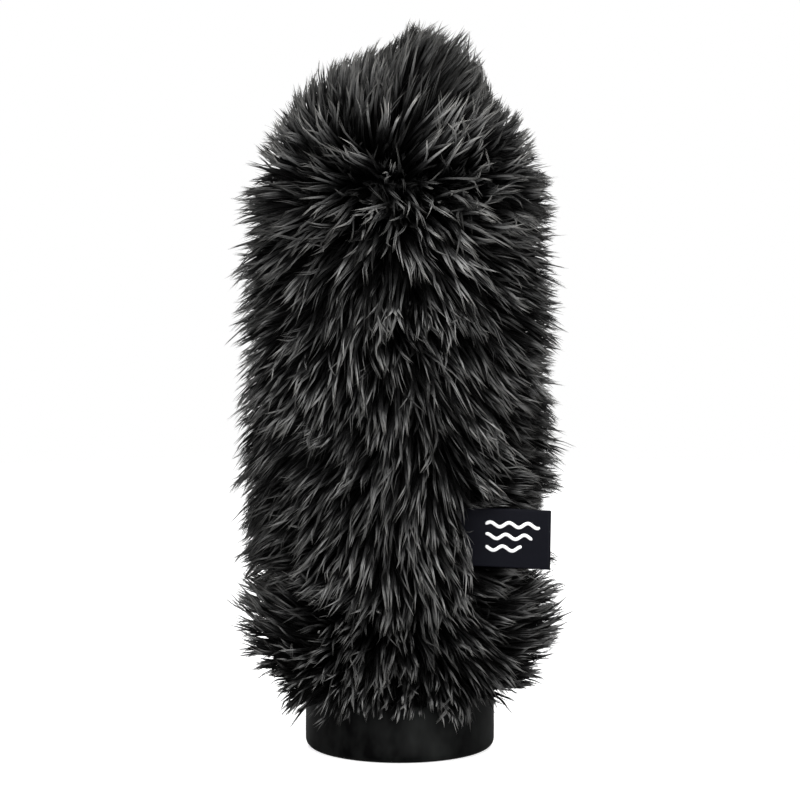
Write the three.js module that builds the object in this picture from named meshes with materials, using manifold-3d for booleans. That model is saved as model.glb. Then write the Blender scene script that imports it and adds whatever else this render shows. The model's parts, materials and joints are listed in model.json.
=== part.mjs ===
// Furry slip-on windscreen for a 22 mm shotgun microphone.
// Millimetres, +Z up. The origin is the centre of the flat bottom face of the rubber base cup,
// on the axis of the microphone bore. -Y is the front, where the side label faces.
//
// The core (cup, grip, collar, foam, sock) stays on the microphone. The sewn fur cover (three fur
// panels, lining, seam tapes, elastic hem) pulls off upwards. The folded side label, part of the
// cover, flaps about its sewn edge.
import * as THREE from "three";
import { mergeVertices } from "three/addons/utils/BufferGeometryUtils.js";
import Module from "manifold-3d";

const wasm = await Module();
wasm.setup();

// ---------- driving dimensions ----------
// In names, R is a radius, Z a height above the origin and H a height of the piece itself.
const TURN_FACETS = 36; // facets round every turned piece
const DOME_FACETS = 8; // facets up a full dome
const DOME_Z = 163; // height at which every dome starts

// Microphone, base cup and grip
const MIC_R = 11; // bore for the microphone tube
const CUP_R = 27.1;
const CUP_CORNER = 1.7; // rounded bottom edge
const CUP_STEP_Z = 16.6; // top of the full-width part
const CUP_TOP_Z = 36;
const CUP_IN_R = 21.6;
const NECK_R = 24.1; // neck that the cover's hem closes round
const FLOOR_T = 3;
const FLOOR_HOLE_R = 13.7;
const GRIP_R = 13.2; // outside of the grip sleeve
const GRIP_TOP_Z = 44;
const GRIP_LIPS_Z = [39, 27, 15]; // soft lips that seal on the microphone

// Collar, foam and sock
const COLLAR_Z0 = FLOOR_T + 2.4;
const COLLAR_FLOOR_Z1 = COLLAR_Z0 + 2; // top of the collar's floor ring
const BARBS_Z = [26.2, 18.2];
const AROUND_GRIP_R = GRIP_R + 0.4; // bore of the pieces that surround the grip sleeve
const FOAM_R = 23.2;
const FOAM_TOP_Z = 160;
const NOSE_H = 20; // height of the foam nose's dome
const BORE_TOP_Z = 154;
const SOCK_IN_R = FOAM_R + 0.3;
const SOCK_OUT_R = FOAM_R + 0.7;

// Cover
const HEM_Z0 = 17.9;
const HEM_Z1 = 27;
const HEM_IN_R = 25.2;
const HEM_OUT_R = 27;
const LINING_IN_R = 25.2;
const LINING_OUT_R = 25.6;
const TAPE_IN_R = 25.9;
const TAPE_OUT_R = 26.3;
const BACKING_R = 26.6; // inside of the fur panels
const BACKING_DOME_H = BACKING_R - 3.2;
const WAIST_Z = 50; // circular seam between body and skirt panels
const CROWN_Z = 170; // circular seam between body and crown panels, on the dome
const SEAM_GAP = 0.4; // from the waist seam to each panel beside it
const WAIST_TAPE_HALF = 4; // half the waist tape's height
const TAPE_END_GAP = 0.6; // between the waist tape and each side tape

// Angle up the backing's dome at which the crown seam lies, in degrees
const CROWN_ANGLE = (Math.asin((CROWN_Z - DOME_Z) / BACKING_DOME_H) * 180) / Math.PI;

// Side label: a flag sewn into the vertical side seam. Angles in degrees from +X.
const SIDE_SEAM_ANGLE = -57.5; // position of the seam round the axis
const HINGE_R = 28.4; // distance of the label's sewn edge from the axis
const LABEL_DIR = -18; // direction the label lies in
const LABEL_L = 27.6;
const LABEL_H = 16.3;
const LABEL_Z0 = 55.9;
const LABEL_PLY = 0.45;
const LABEL_GAP = 0.4; // space between the two plies
const FLAP_OUT = 45; // degrees it lifts away from the pile
const FLAP_IN = 10; // degrees it presses into the pile

// ---------- outlines ----------
const rad = (degrees) => (degrees * Math.PI) / 180;

// Points of an elliptical arc about a centre; from and to are degrees above the first axis.
function arc({ centre: [x, y], width, height, from, to, steps }) {
  const points = [];
  for (let i = 0; i <= steps; i++) {
    const angle = rad(from + ((to - from) * i) / steps);
    points.push([x + Math.max(0, width * Math.cos(angle)), y + height * Math.sin(angle)]);
  }
  return points;
}

// Profile of a dome on the Z axis, or of a belt of it.
function dome({ radius, height, from = 0, to = 90, steps = DOME_FACETS }) {
  return arc({ centre: [0, DOME_Z], width: radius, height, from, to, steps });
}

// Rectangular ring profile.
const band = (innerR, outerR, z0, z1) => [
  [innerR, z0],
  [outerR, z0],
  [outerR, z1],
  [innerR, z1],
];

// Profile of a thin domed tube, open at the bottom.
const domedTube = (z0, inner, outer) => [
  [inner.radius, z0],
  [outer.radius, z0],
  ...dome(outer),
  ...dome(inner).reverse(),
];

// ---------- solids ----------
// Turns a closed profile of [radius, height] pairs round the Z axis.
function turned(profile) {
  const count = profile.length;
  let doubleArea = 0;
  profile.forEach(([r0, z0], i) => {
    const [r1, z1] = profile[(i + 1) % count];
    doubleArea += r0 * z1 - r1 * z0;
  });
  // The faces point outwards only when the profile runs anticlockwise.
  let points = doubleArea > 0 ? profile.slice() : profile.slice().reverse();

  const onAxis = ([r]) => r < 1e-9;
  const axisEdge = points.findIndex((p, i) => onAxis(p) && onAxis(points[(i + 1) % count]));
  if (axisEdge >= 0) {
    // Leave out the edge on the axis: the open profile begins and ends there.
    points = [...points.slice(axisEdge + 1), ...points.slice(0, axisEdge + 1)];
  } else {
    points.push(points[0]);
  }
  const geometry = new THREE.LatheGeometry(
    points.map(([r, z]) => new THREE.Vector2(r, z)),
    TURN_FACETS,
  );
  return geometry.rotateX(Math.PI / 2);
}

// A flat outline in the XY plane, drawn up from z0 to z1.
function prism(outline, z0, z1) {
  const shape = new THREE.Shape(outline.map(([x, y]) => new THREE.Vector2(x, y)));
  const geometry = new THREE.ExtrudeGeometry(shape, { depth: z1 - z0, bevelEnabled: false });
  return geometry.translate(0, 0, z0);
}

function toManifold(geometry) {
  const WELD_DISTANCE = 1e-3;
  // Normals and UVs would keep coincident vertices apart.
  geometry.deleteAttribute("normal");
  geometry.deleteAttribute("uv");
  const welded = mergeVertices(geometry, WELD_DISTANCE);
  return new wasm.Manifold(
    new wasm.Mesh({
      numProp: 3,
      vertProperties: welded.attributes.position.array,
      triVerts: new Uint32Array(welded.index.array),
    }),
  );
}

function toGeometry(manifold) {
  const { vertProperties, triVerts } = manifold.getMesh();
  const geometry = new THREE.BufferGeometry();
  geometry.setAttribute(
    "position",
    new THREE.BufferAttribute(new Float32Array(vertProperties), 3),
  );
  geometry.setIndex(new THREE.BufferAttribute(new Uint32Array(triVerts), 1));
  geometry.computeVertexNormals();
  return geometry;
}

// ---------- materials ----------
const matte = ({ color, roughness }) => new THREE.MeshStandardMaterial({ color, roughness });
const RUBBER = matte({ color: 0x17181a, roughness: 0.55 });
const SOFT_RUBBER = matte({ color: 0x1c1c1e, roughness: 0.7 });
const NYLON = matte({ color: 0x222326, roughness: 0.45 });
const FOAM = matte({ color: 0x2a2a2c, roughness: 0.95 });
const SOCK = matte({ color: 0x202124, roughness: 0.9 });
const FUR = matte({ color: 0x2b2b2a, roughness: 0.85 });
const TAPE = matte({ color: 0x161618, roughness: 0.8 });
const LINING = matte({ color: 0x1d1e21, roughness: 0.85 });
const ELASTIC = matte({ color: 0x202022, roughness: 0.8 });
const LABEL = matte({ color: 0x10121a, roughness: 0.6 });
const THREAD = matte({ color: 0x2c2d31, roughness: 0.7 });

// ---------- core pieces ----------
// Moulded rubber cup: rounded foot, full-width skirt, step, neck with a small bead for the hem.
function baseCup() {
  const foot = arc({
    centre: [CUP_R - CUP_CORNER, CUP_CORNER],
    width: CUP_CORNER,
    height: CUP_CORNER,
    from: -90,
    to: 0,
    steps: 5,
  });
  const STEP_BEVEL = 0.8;
  const BEAD = 0.5; // how far the bead stands out
  return turned([
    [FLOOR_HOLE_R, 0],
    ...foot,
    [CUP_R, CUP_STEP_Z - STEP_BEVEL],
    [CUP_R - STEP_BEVEL, CUP_STEP_Z],
    [NECK_R + 0.3, CUP_STEP_Z + 0.4],
    [NECK_R, CUP_STEP_Z + 0.8],
    [NECK_R, CUP_TOP_Z - 3],
    [NECK_R + BEAD, CUP_TOP_Z - 2],
    [NECK_R + BEAD, CUP_TOP_Z - 0.9],
    [NECK_R - 0.2, CUP_TOP_Z],
    [CUP_IN_R, CUP_TOP_Z],
    [CUP_IN_R, FLOOR_T],
    [FLOOR_HOLE_R, FLOOR_T],
  ]);
}

// Soft sleeve with lips that grip the microphone, and a flange just above the cup's floor.
function gripSleeve() {
  const BOTTOM_Z = 0.8;
  const EDGE_BEVEL = 0.5;
  const FLANGE_R = 17.6;
  const FLANGE_Z0 = FLOOR_T + 0.3;
  const FLANGE_Z1 = FLOOR_T + 2;
  const BORE_R = MIC_R + 1; // bore between the lips
  const LIP_ROOT_HALF = 1.4;
  const LIP_TIP_HALF = 0.3;
  return turned([
    [MIC_R + 0.9, BOTTOM_Z],
    [GRIP_R - EDGE_BEVEL, BOTTOM_Z],
    [GRIP_R, BOTTOM_Z + EDGE_BEVEL],
    [GRIP_R, FLANGE_Z0],
    [FLANGE_R, FLANGE_Z0],
    [FLANGE_R, FLANGE_Z1],
    [GRIP_R, FLANGE_Z1],
    [GRIP_R, GRIP_TOP_Z],
    [BORE_R, GRIP_TOP_Z],
    ...GRIP_LIPS_Z.flatMap((z) => [
      [BORE_R, z + LIP_ROOT_HALF],
      [MIC_R, z + LIP_TIP_HALF],
      [MIC_R, z - LIP_TIP_HALF],
      [BORE_R, z - LIP_ROOT_HALF],
    ]),
    [BORE_R, 3.6],
  ]);
}

// Rigid collar glued into the cup: a floor ring and a wall with barbs that hold the foam spigot.
function coreCollar() {
  const OUT_R = CUP_IN_R - 0.4;
  const WALL_IN_R = OUT_R - 1.5;
  const BARB_R = WALL_IN_R - 0.6;
  const TOP_Z = 32;
  return turned([
    [AROUND_GRIP_R, COLLAR_Z0],
    [OUT_R, COLLAR_Z0],
    [OUT_R, TOP_Z],
    [WALL_IN_R, TOP_Z],
    ...BARBS_Z.flatMap((z) => [
      [WALL_IN_R, z + 0.8],
      [BARB_R, z],
      [WALL_IN_R, z - 1.2],
    ]),
    [WALL_IN_R, COLLAR_FLOOR_Z1],
    [AROUND_GRIP_R, COLLAR_FLOOR_Z1],
  ]);
}

// Open-cell foam tube with a spigot that plugs into the collar.
function foamCore() {
  const SPIGOT_R = CUP_IN_R - 2.9;
  const SPIGOT_Z0 = COLLAR_FLOOR_Z1 + 0.4;
  const SHOULDER_Z = CUP_TOP_Z + 0.4;
  const BEVEL = 1.2;
  const BORE_R = MIC_R + 0.3;
  const COUNTERBORE_Z1 = GRIP_TOP_Z + 0.8; // top of the wider bore round the grip
  return turned([
    [AROUND_GRIP_R, SPIGOT_Z0],
    [SPIGOT_R, SPIGOT_Z0],
    [SPIGOT_R, SHOULDER_Z],
    [FOAM_R - BEVEL, SHOULDER_Z],
    [FOAM_R, SHOULDER_Z + BEVEL],
    [FOAM_R, FOAM_TOP_Z],
    [BORE_R, FOAM_TOP_Z],
    [BORE_R, COUNTERBORE_Z1],
    [AROUND_GRIP_R, COUNTERBORE_Z1],
  ]);
}

// Domed foam nose whose short plug closes the bore.
function foamNose() {
  const BASE_Z = FOAM_TOP_Z + 0.3;
  const PLUG_BEVEL = 0.8;
  return turned([
    [0, BORE_TOP_Z],
    [MIC_R - PLUG_BEVEL, BORE_TOP_Z],
    [MIC_R, BORE_TOP_Z + PLUG_BEVEL],
    [MIC_R, BASE_Z],
    [FOAM_R, BASE_Z],
    ...dome({ radius: FOAM_R, height: NOSE_H }),
  ]);
}

// Knitted sock over the foam, open at the bottom.
function coreSock() {
  const inner = { radius: SOCK_IN_R, height: NOSE_H + 0.3 };
  const outer = { radius: SOCK_OUT_R, height: NOSE_H + 0.7 };
  return turned(domedTube(CUP_TOP_Z + 2, inner, outer));
}

// Elastic band that holds the sock's lower edge on the foam.
function sockBand() {
  const BAND_Z0 = CUP_TOP_Z + 3.2;
  const BAND_H = 6;
  return turned(band(SOCK_OUT_R + 0.2, SOCK_OUT_R + 0.8, BAND_Z0, BAND_Z0 + BAND_H));
}

// ---------- cover pieces ----------
const hingeX = HINGE_R * Math.cos(rad(SIDE_SEAM_ANGLE));
const hingeY = HINGE_R * Math.sin(rad(SIDE_SEAM_ANGLE));

// The space the label needs through the pile, over its whole swing.
function labelSwing() {
  const REACH = 44; // ends beyond the pile
  const HALF_WIDTH = 1.25; // at the sewn edge
  const EXTRA_SWING = 6; // degrees past each end of the flap
  const Z_CLEARANCE = 1.2;

  // One side of the wedge: its start is set back from the hinge towards the axis.
  function wedgeSide(degrees, side, setback) {
    const dir = rad(degrees);
    const x = hingeX + side * HALF_WIDTH * Math.sin(dir);
    const y = hingeY - side * HALF_WIDTH * Math.cos(dir);
    const seam = rad(SIDE_SEAM_ANGLE);
    return {
      start: [x - setback * Math.cos(seam), y - setback * Math.sin(seam)],
      end: [x + REACH * Math.cos(dir), y + REACH * Math.sin(dir)],
    };
  }
  const outward = wedgeSide(LABEL_DIR - FLAP_OUT - EXTRA_SWING, 1, 1);
  const inward = wedgeSide(LABEL_DIR + FLAP_IN + EXTRA_SWING, -1, 0.7);

  // A point further out keeps the wedge's far edge clear of the pile.
  const middleDir = rad(LABEL_DIR - 20);
  const middleReach = REACH * 1.15;
  const middle = [
    hingeX + middleReach * Math.cos(middleDir),
    hingeY + middleReach * Math.sin(middleDir),
  ];
  return prism(
    [outward.start, outward.end, middle, inward.end, inward.start],
    LABEL_Z0 - Z_CLEARANCE,
    LABEL_Z0 + LABEL_H + Z_CLEARANCE,
  );
}

// Each fur panel is its backing and its pile together: the outer profile is the pile's envelope.
function furBody() {
  const BOTTOM_Z = WAIST_Z + SEAM_GAP;
  // [radius, height], from the crown seam down to the waist
  const pile = [
    [34.5, 177.6], [38.3, 171.5], [41, 164], [42.9, 152], [43.5, 135],
    [43.5, 80], [43.2, 60], [41.2, BOTTOM_Z + 0.6], [36, BOTTOM_Z],
  ];
  const panel = turned([
    [BACKING_R, BOTTOM_Z],
    ...dome({ radius: BACKING_R, height: BACKING_DOME_H, to: CROWN_ANGLE, steps: 3 }),
    ...pile,
  ]);
  return toGeometry(toManifold(panel).subtract(toManifold(labelSwing())));
}

function furCrown() {
  // [radius, height], from the tip down to the crown seam
  const pile = [
    [0, 202], [7, 201.2], [14, 198.6], [20, 195],
    [25, 191], [29, 186.6], [32, 182.6], [34.3, 178.1],
  ];
  const from = CROWN_ANGLE + 1.2; // leaves a gap at the seam
  return turned([
    ...dome({ radius: BACKING_R, height: BACKING_DOME_H, from, steps: 7 }),
    ...pile,
  ]);
}

function furSkirt() {
  const TOP_Z = WAIST_Z - SEAM_GAP;
  // [radius, height], from the waist down to the lower edge
  const pile = [
    [36, TOP_Z], [41.6, TOP_Z - 0.8], [44.2, 42], [44.8, 34],
    [43.4, 25.5], [38.6, 17], [33.5, 11.8], [28.2, 10.4],
  ];
  return turned([
    [BACKING_R, TOP_Z],
    ...pile,
    // up the inside, clear of the hem binding
    [27.8, 11],
    [27.8, HEM_Z0 - 0.6],
    [27.4, HEM_Z0],
    [27.4, HEM_Z1 + 0.6],
    [BACKING_R, HEM_Z1 + 1.4],
  ]);
}

// The seam tapes lie inside the cover, between the lining and the fur backing.
function waistTape() {
  const z0 = WAIST_Z - WAIST_TAPE_HALF;
  return turned(band(TAPE_IN_R, TAPE_OUT_R, z0, WAIST_Z + WAIST_TAPE_HALF));
}

function crownTape() {
  const belt = { from: CROWN_ANGLE - 8, to: CROWN_ANGLE + 10, steps: 3 };
  return turned([
    ...dome({ radius: TAPE_OUT_R, height: BACKING_DOME_H - 0.3, ...belt }),
    ...dome({ radius: TAPE_IN_R, height: BACKING_DOME_H - 0.7, ...belt }).reverse(),
  ]);
}

// A curved upright strip behind the side seam.
function sideTape(z0, z1) {
  const HALF_ANGLE = 8;
  const edge = (radius) =>
    arc({
      centre: [0, 0],
      width: radius,
      height: radius,
      from: SIDE_SEAM_ANGLE - HALF_ANGLE,
      to: SIDE_SEAM_ANGLE + HALF_ANGLE,
      steps: 6,
    });
  return prism([...edge(TAPE_IN_R), ...edge(TAPE_OUT_R).reverse()], z0, z1);
}

// Thin knitted lining, so the cover slides on easily.
function coverLining() {
  const inner = { radius: LINING_IN_R, height: BACKING_DOME_H - 1.4 };
  const outer = { radius: LINING_OUT_R, height: BACKING_DOME_H - 1 };
  return turned(domedTube(HEM_Z1 + 0.5, inner, outer));
}

// Folded hem binding: a U-shaped channel, open at the top.
function hemBinding() {
  const BEVEL = 0.4;
  const FLOOR_Z = HEM_Z0 + 0.5;
  const INNER_WALL_R = HEM_IN_R + 0.4;
  const OUTER_WALL_R = HEM_OUT_R - 0.35;
  return turned([
    [HEM_IN_R, HEM_Z0 + BEVEL],
    [HEM_IN_R + BEVEL, HEM_Z0],
    [HEM_OUT_R - BEVEL, HEM_Z0],
    [HEM_OUT_R, HEM_Z0 + BEVEL],
    [HEM_OUT_R, HEM_Z1],
    [OUTER_WALL_R, HEM_Z1],
    [OUTER_WALL_R, FLOOR_Z],
    [INNER_WALL_R, FLOOR_Z],
    [INNER_WALL_R, HEM_Z1],
    [HEM_IN_R, HEM_Z1],
  ]);
}

// Flat elastic inside the binding.
const hemElastic = () =>
  turned(band(HEM_IN_R + 0.7, HEM_OUT_R - 0.65, HEM_Z0 + 1.1, HEM_Z1 - 1.2));

// ---------- side label pieces: X runs from the sewn edge to the fold ----------
const LABEL_HALF_T = LABEL_PLY + LABEL_GAP / 2;

// Two plies joined by a rounded fold at the free end.
function sideLabel() {
  const SEWN_X = -0.2;
  const halfGap = LABEL_GAP / 2;
  const fold = (radius, steps) =>
    arc({
      centre: [LABEL_L - LABEL_HALF_T, 0],
      width: radius,
      height: radius,
      from: -90,
      to: 90,
      steps,
    });
  const outline = [
    [SEWN_X, -LABEL_HALF_T],
    ...fold(LABEL_HALF_T, 8),
    [SEWN_X, LABEL_HALF_T],
    [SEWN_X, halfGap],
    ...fold(halfGap, 6).reverse(),
    [SEWN_X, -halfGap],
  ];
  return prism(outline, LABEL_Z0, LABEL_Z0 + LABEL_H);
}

// Bar tacks hold the label's two corners at its sewn edge.
const TACK_H = 3.6;
const TACK_INSET = 0.8; // from the label's lower or upper edge
function labelTack(z0) {
  const face = -LABEL_HALF_T; // the label's outward face
  const outline = [
    [0.4, face - 0.4],
    [2, face - 0.4],
    [2.2, face - 0.25],
    [2.2, face - 0.05],
    [0.2, face - 0.05],
    [0.2, face - 0.25],
  ];
  return prism(outline, z0, z0 + TACK_H);
}

// ---------- assembly ----------
function add(parent, name, geometry, material) {
  const mesh = new THREE.Mesh(geometry, material);
  mesh.name = name;
  parent.add(mesh);
}

const root = new THREE.Group();
const core = new THREE.Group();
const cover = new THREE.Group();
const label = new THREE.Group();
root.add(core, cover);

add(core, "base_cup", baseCup(), RUBBER);
add(core, "grip_sleeve", gripSleeve(), SOFT_RUBBER);
add(core, "core_collar", coreCollar(), NYLON);
add(core, "foam_core", foamCore(), FOAM);
add(core, "foam_nose", foamNose(), FOAM);
add(core, "core_sock", coreSock(), SOCK);
add(core, "sock_band", sockBand(), ELASTIC);

const sideTapeGap = WAIST_TAPE_HALF + TAPE_END_GAP;
const bodyTape = sideTape(WAIST_Z + sideTapeGap, DOME_Z + 1.5);
const skirtTape = sideTape(HEM_Z1 + 1.6, WAIST_Z - sideTapeGap);
add(cover, "fur_body_panel", furBody(), FUR);
add(cover, "fur_crown_panel", furCrown(), FUR);
add(cover, "fur_skirt_panel", furSkirt(), FUR);
add(cover, "waist_seam_tape", waistTape(), TAPE);
add(cover, "crown_seam_tape", crownTape(), TAPE);
add(cover, "side_seam_tape_body", bodyTape, TAPE);
add(cover, "side_seam_tape_skirt", skirtTape, TAPE);
add(cover, "cover_lining", coverLining(), LINING);
add(cover, "hem_binding", hemBinding(), TAPE);
add(cover, "hem_elastic", hemElastic(), ELASTIC);

// The label's group turns about the sewn edge.
label.position.set(hingeX, hingeY, 0);
label.rotation.z = rad(LABEL_DIR);
cover.add(label);
const upperTackZ0 = LABEL_Z0 + LABEL_H - TACK_INSET - TACK_H;
add(label, "side_label", sideLabel(), LABEL);
add(label, "label_tack_lower", labelTack(LABEL_Z0 + TACK_INSET), THREAD);
add(label, "label_tack_upper", labelTack(upperTackZ0), THREAD);

export default root;
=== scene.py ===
"""Looks of a furry windscreen, built round its CAD frame.

It stands upright on Z with its rubber cup on z = 0. The front faces -Y and +X is to the right.
From the inside out: grip sleeve, collar and foam in a knitted sock, then the lining, seam tapes,
backing and pile of the fur cover, with a hinged side label at the front right.
Lengths are millimetres and MM turns them into metres.
"""

import json
import math
import bpy
import numpy as np
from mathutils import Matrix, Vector

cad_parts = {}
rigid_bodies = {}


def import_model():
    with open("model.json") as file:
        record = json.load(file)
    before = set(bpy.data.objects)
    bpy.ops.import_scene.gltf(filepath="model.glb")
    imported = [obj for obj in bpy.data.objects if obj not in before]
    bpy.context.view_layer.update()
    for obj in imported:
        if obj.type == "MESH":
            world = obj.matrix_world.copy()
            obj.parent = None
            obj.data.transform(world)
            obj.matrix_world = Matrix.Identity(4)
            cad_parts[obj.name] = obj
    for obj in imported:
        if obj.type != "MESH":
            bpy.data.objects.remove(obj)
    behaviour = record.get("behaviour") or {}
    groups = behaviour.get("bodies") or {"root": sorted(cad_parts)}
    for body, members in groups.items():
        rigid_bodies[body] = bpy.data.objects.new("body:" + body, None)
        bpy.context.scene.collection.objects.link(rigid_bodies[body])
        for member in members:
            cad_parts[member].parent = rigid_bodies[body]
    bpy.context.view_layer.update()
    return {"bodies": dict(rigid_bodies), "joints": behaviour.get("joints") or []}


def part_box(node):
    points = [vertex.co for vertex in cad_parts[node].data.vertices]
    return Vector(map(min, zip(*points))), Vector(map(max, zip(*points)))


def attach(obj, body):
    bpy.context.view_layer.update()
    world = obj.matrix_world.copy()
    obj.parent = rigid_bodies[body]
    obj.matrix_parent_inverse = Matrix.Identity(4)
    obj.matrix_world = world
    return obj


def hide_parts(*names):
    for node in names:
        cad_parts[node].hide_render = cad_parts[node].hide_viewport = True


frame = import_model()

MM = 0.001
scene = bpy.context.scene

# ------------------------------------------------------------------ driving sizes


def box_mm(node):
    low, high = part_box(node)
    return np.array(low) / MM, np.array(high) / MM


CUP_R = box_mm("base_cup")[1][0]
WAIST_Z = 50.0  # seam between the skirt and the body of the fur
DOME_Z = 163.0  # every layer is a tube up to here and a dome above
DOME_DROP = 3.2  # a dome is this much lower than its radius
FOAM_R = 23.2
SOCK_IN, SOCK_OUT = 23.5, 23.9
LINING_IN, LINING_OUT = 25.2, 25.6
TAPE_IN, TAPE_OUT = 25.9, 26.3
BACK_IN, BACK_OUT = 26.6, 27.0  # fur backing
BACK_DOME = BACK_OUT - DOME_DROP
SEAM_ANGLE = -57.5  # side seam, degrees from +X

label_low, label_high = box_mm("side_label")
LABEL_Z0, LABEL_Z1 = label_low[2], label_high[2]
flap_joint = next(joint for joint in frame["joints"] if joint["name"] == "label_flap")
HINGE = np.array(flap_joint["pos_m"]) / MM
LABEL_ANGLE = math.radians(-18.0)  # where the label points from its hinge, from +X
LABEL_COS, LABEL_SIN = math.cos(LABEL_ANGLE), math.sin(LABEL_ANGLE)
LABEL_LENGTH = (label_high[0] - HINGE[0]) / LABEL_COS
SWING_LOW, SWING_HIGH = (LABEL_ANGLE + math.radians(a) for a in flap_joint["range_deg"])

# ------------------------------------------------------------------ node trees


class NodeTree:
    """A cleared node tree. Values may be sockets, numbers or RGB tuples."""

    def __init__(self, tree):
        self.tree = tree
        tree.nodes.clear()

    def feed(self, socket, value):
        if isinstance(value, bpy.types.NodeSocket):
            self.tree.links.new(value, socket)
        elif isinstance(value, tuple):
            socket.default_value = (*value, 1.0)
        else:
            socket.default_value = value

    def add(self, kind, settings=None, **inputs):
        node = self.tree.nodes.new(kind)
        for key, value in (settings or {}).items():
            setattr(node, key, value)
        for key, value in inputs.items():
            self.feed(node.inputs[key], value)
        return node

    def math(self, operation, *values, clamp=False):
        node = self.add("ShaderNodeMath", {"operation": operation, "use_clamp": clamp})
        for socket, value in zip(node.inputs, values):
            self.feed(socket, value)
        return node.outputs[0]

    def wave(self, phase):
        """Sine wave between 0 and 1."""
        return self.math("MULTIPLY_ADD", self.math("SINE", phase), 0.5, 0.5)

    def coords(self):
        return self.add("ShaderNodeTexCoord").outputs["Object"]

    def split(self, vector):
        node = self.add("ShaderNodeSeparateXYZ", Vector=vector)
        return node.outputs[0], node.outputs[1], node.outputs[2]

    def join(self, x, y, z):
        return self.add("ShaderNodeCombineXYZ", X=x, Y=y, Z=z).outputs[0]

    def noise(self, scale, detail=3.0, roughness=0.55, at=None):
        at = at or self.coords()
        return self.add(
            "ShaderNodeTexNoise", Scale=scale, Detail=detail, Roughness=roughness, Vector=at
        ).outputs[0]

    def cells(self, scale, at):
        return self.add("ShaderNodeTexVoronoi", Scale=scale, Vector=at).outputs["Distance"]

    def ramp(self, factor, stops):
        node = self.add("ShaderNodeValToRGB", Fac=factor)
        elements = node.color_ramp.elements
        while len(elements) < len(stops):
            elements.new(0.5)
        for element, (position, color) in zip(elements, stops):
            element.position = position
            element.color = (*color, 1.0)
        return node.outputs[0]

    def mix(self, factor, a, b, blend="MIX"):
        node = self.add("ShaderNodeMix", {"data_type": "RGBA", "blend_type": blend})
        for index, value in ((0, factor), (6, a), (7, b)):
            self.feed(node.inputs[index], value)
        return node.outputs[2]

    def mix_shader(self, factor, a, b):
        node = self.add("ShaderNodeMixShader")
        for socket, value in zip(node.inputs, (factor, a, b)):
            self.feed(socket, value)
        return node.outputs[0]

    def bump(self, height, strength, depth_mm, under=None):
        node = self.add(
            "ShaderNodeBump", Strength=strength, Distance=depth_mm * MM, Height=height
        )
        if under is not None:
            self.feed(node.inputs["Normal"], under)
        return node.outputs[0]

    def polar(self):
        """Angle in radians round the Z axis, and height in mm."""
        x, y, z = self.split(self.coords())
        return self.math("ARCTAN2", y, x), self.math("MULTIPLY", z, 1000.0)


class Material(NodeTree):
    """A material with one Principled shader."""

    def __init__(self, name):
        self.data = bpy.data.materials.new(name)
        self.data.use_nodes = True
        super().__init__(self.data.node_tree)
        self.out = self.add("ShaderNodeOutputMaterial").inputs["Surface"]
        self.shader = self.add("ShaderNodeBsdfPrincipled")
        self.feed(self.out, self.shader.outputs[0])

    def surface(self, color, roughness, specular, normal=None):
        inputs = self.shader.inputs
        self.feed(inputs["Base Color"], color)
        self.feed(inputs["Roughness"], roughness)
        self.feed(inputs["Specular IOR Level"], specular)
        if normal is not None:
            self.feed(inputs["Normal"], normal)
        return self.data


# ------------------------------------------------------------------ materials


def fur_material(name, stops, low, high, power):
    """Coloured by the strand map: u is the strand's lightness, v runs from root to tip through
    painted shade and highlight.
    """
    m = Material(name)
    u, v, _ = m.split(m.add("ShaderNodeUVMap", {"uv_map": "OFBake"}).outputs[0])
    along = m.ramp(v, stops)
    gain = m.math("MULTIPLY_ADD", m.math("POWER", u, power), high - low, low)
    color = m.mix(1.0, along, m.join(gain, gain, gain), blend="MULTIPLY")
    return m.surface(color, roughness=0.50, specular=0.04)


def knit_material(name, dark, light, loop_mm, course_mm, sheen):
    """Fine warp knit: columns of loops round the axis, rows up it."""
    m = Material(name)
    angle, z = m.polar()
    columns = round(2 * math.pi * 25.0 / loop_mm)
    wale = m.math("MULTIPLY", angle, columns)
    row = m.math("MULTIPLY", z, 2 * math.pi / course_mm)

    def ribs():
        return m.math("ABSOLUTE", m.math("SINE", m.math("MULTIPLY", wale, 0.5)))

    loop = m.math("SINE", m.math("ADD", row, m.math("MULTIPLY", ribs(), 2.6)))
    height = m.math("ADD", m.math("MULTIPLY", loop, 0.35), ribs())
    cloudy = m.noise(scale=60.0, detail=2.0)
    fuzz = m.noise(scale=2600.0, detail=2.0)
    mottle = m.math("ADD", m.math("MULTIPLY", cloudy, 0.35), m.math("MULTIPLY", fuzz, 0.22))
    tone = m.math("ADD", m.math("MULTIPLY", height, 0.42), mottle, clamp=True)
    under = m.bump(fuzz, strength=0.3, depth_mm=0.05)
    normal = m.bump(height, strength=0.55, depth_mm=0.10, under=under)
    inputs = m.shader.inputs
    m.feed(inputs["Sheen Weight"], sheen)
    m.feed(inputs["Sheen Roughness"], 0.5)
    m.feed(inputs["Sheen Tint"], (0.5, 0.5, 0.52))
    return m.surface(m.mix(tone, dark, light), 0.82, specular=0.10, normal=normal)


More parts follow.
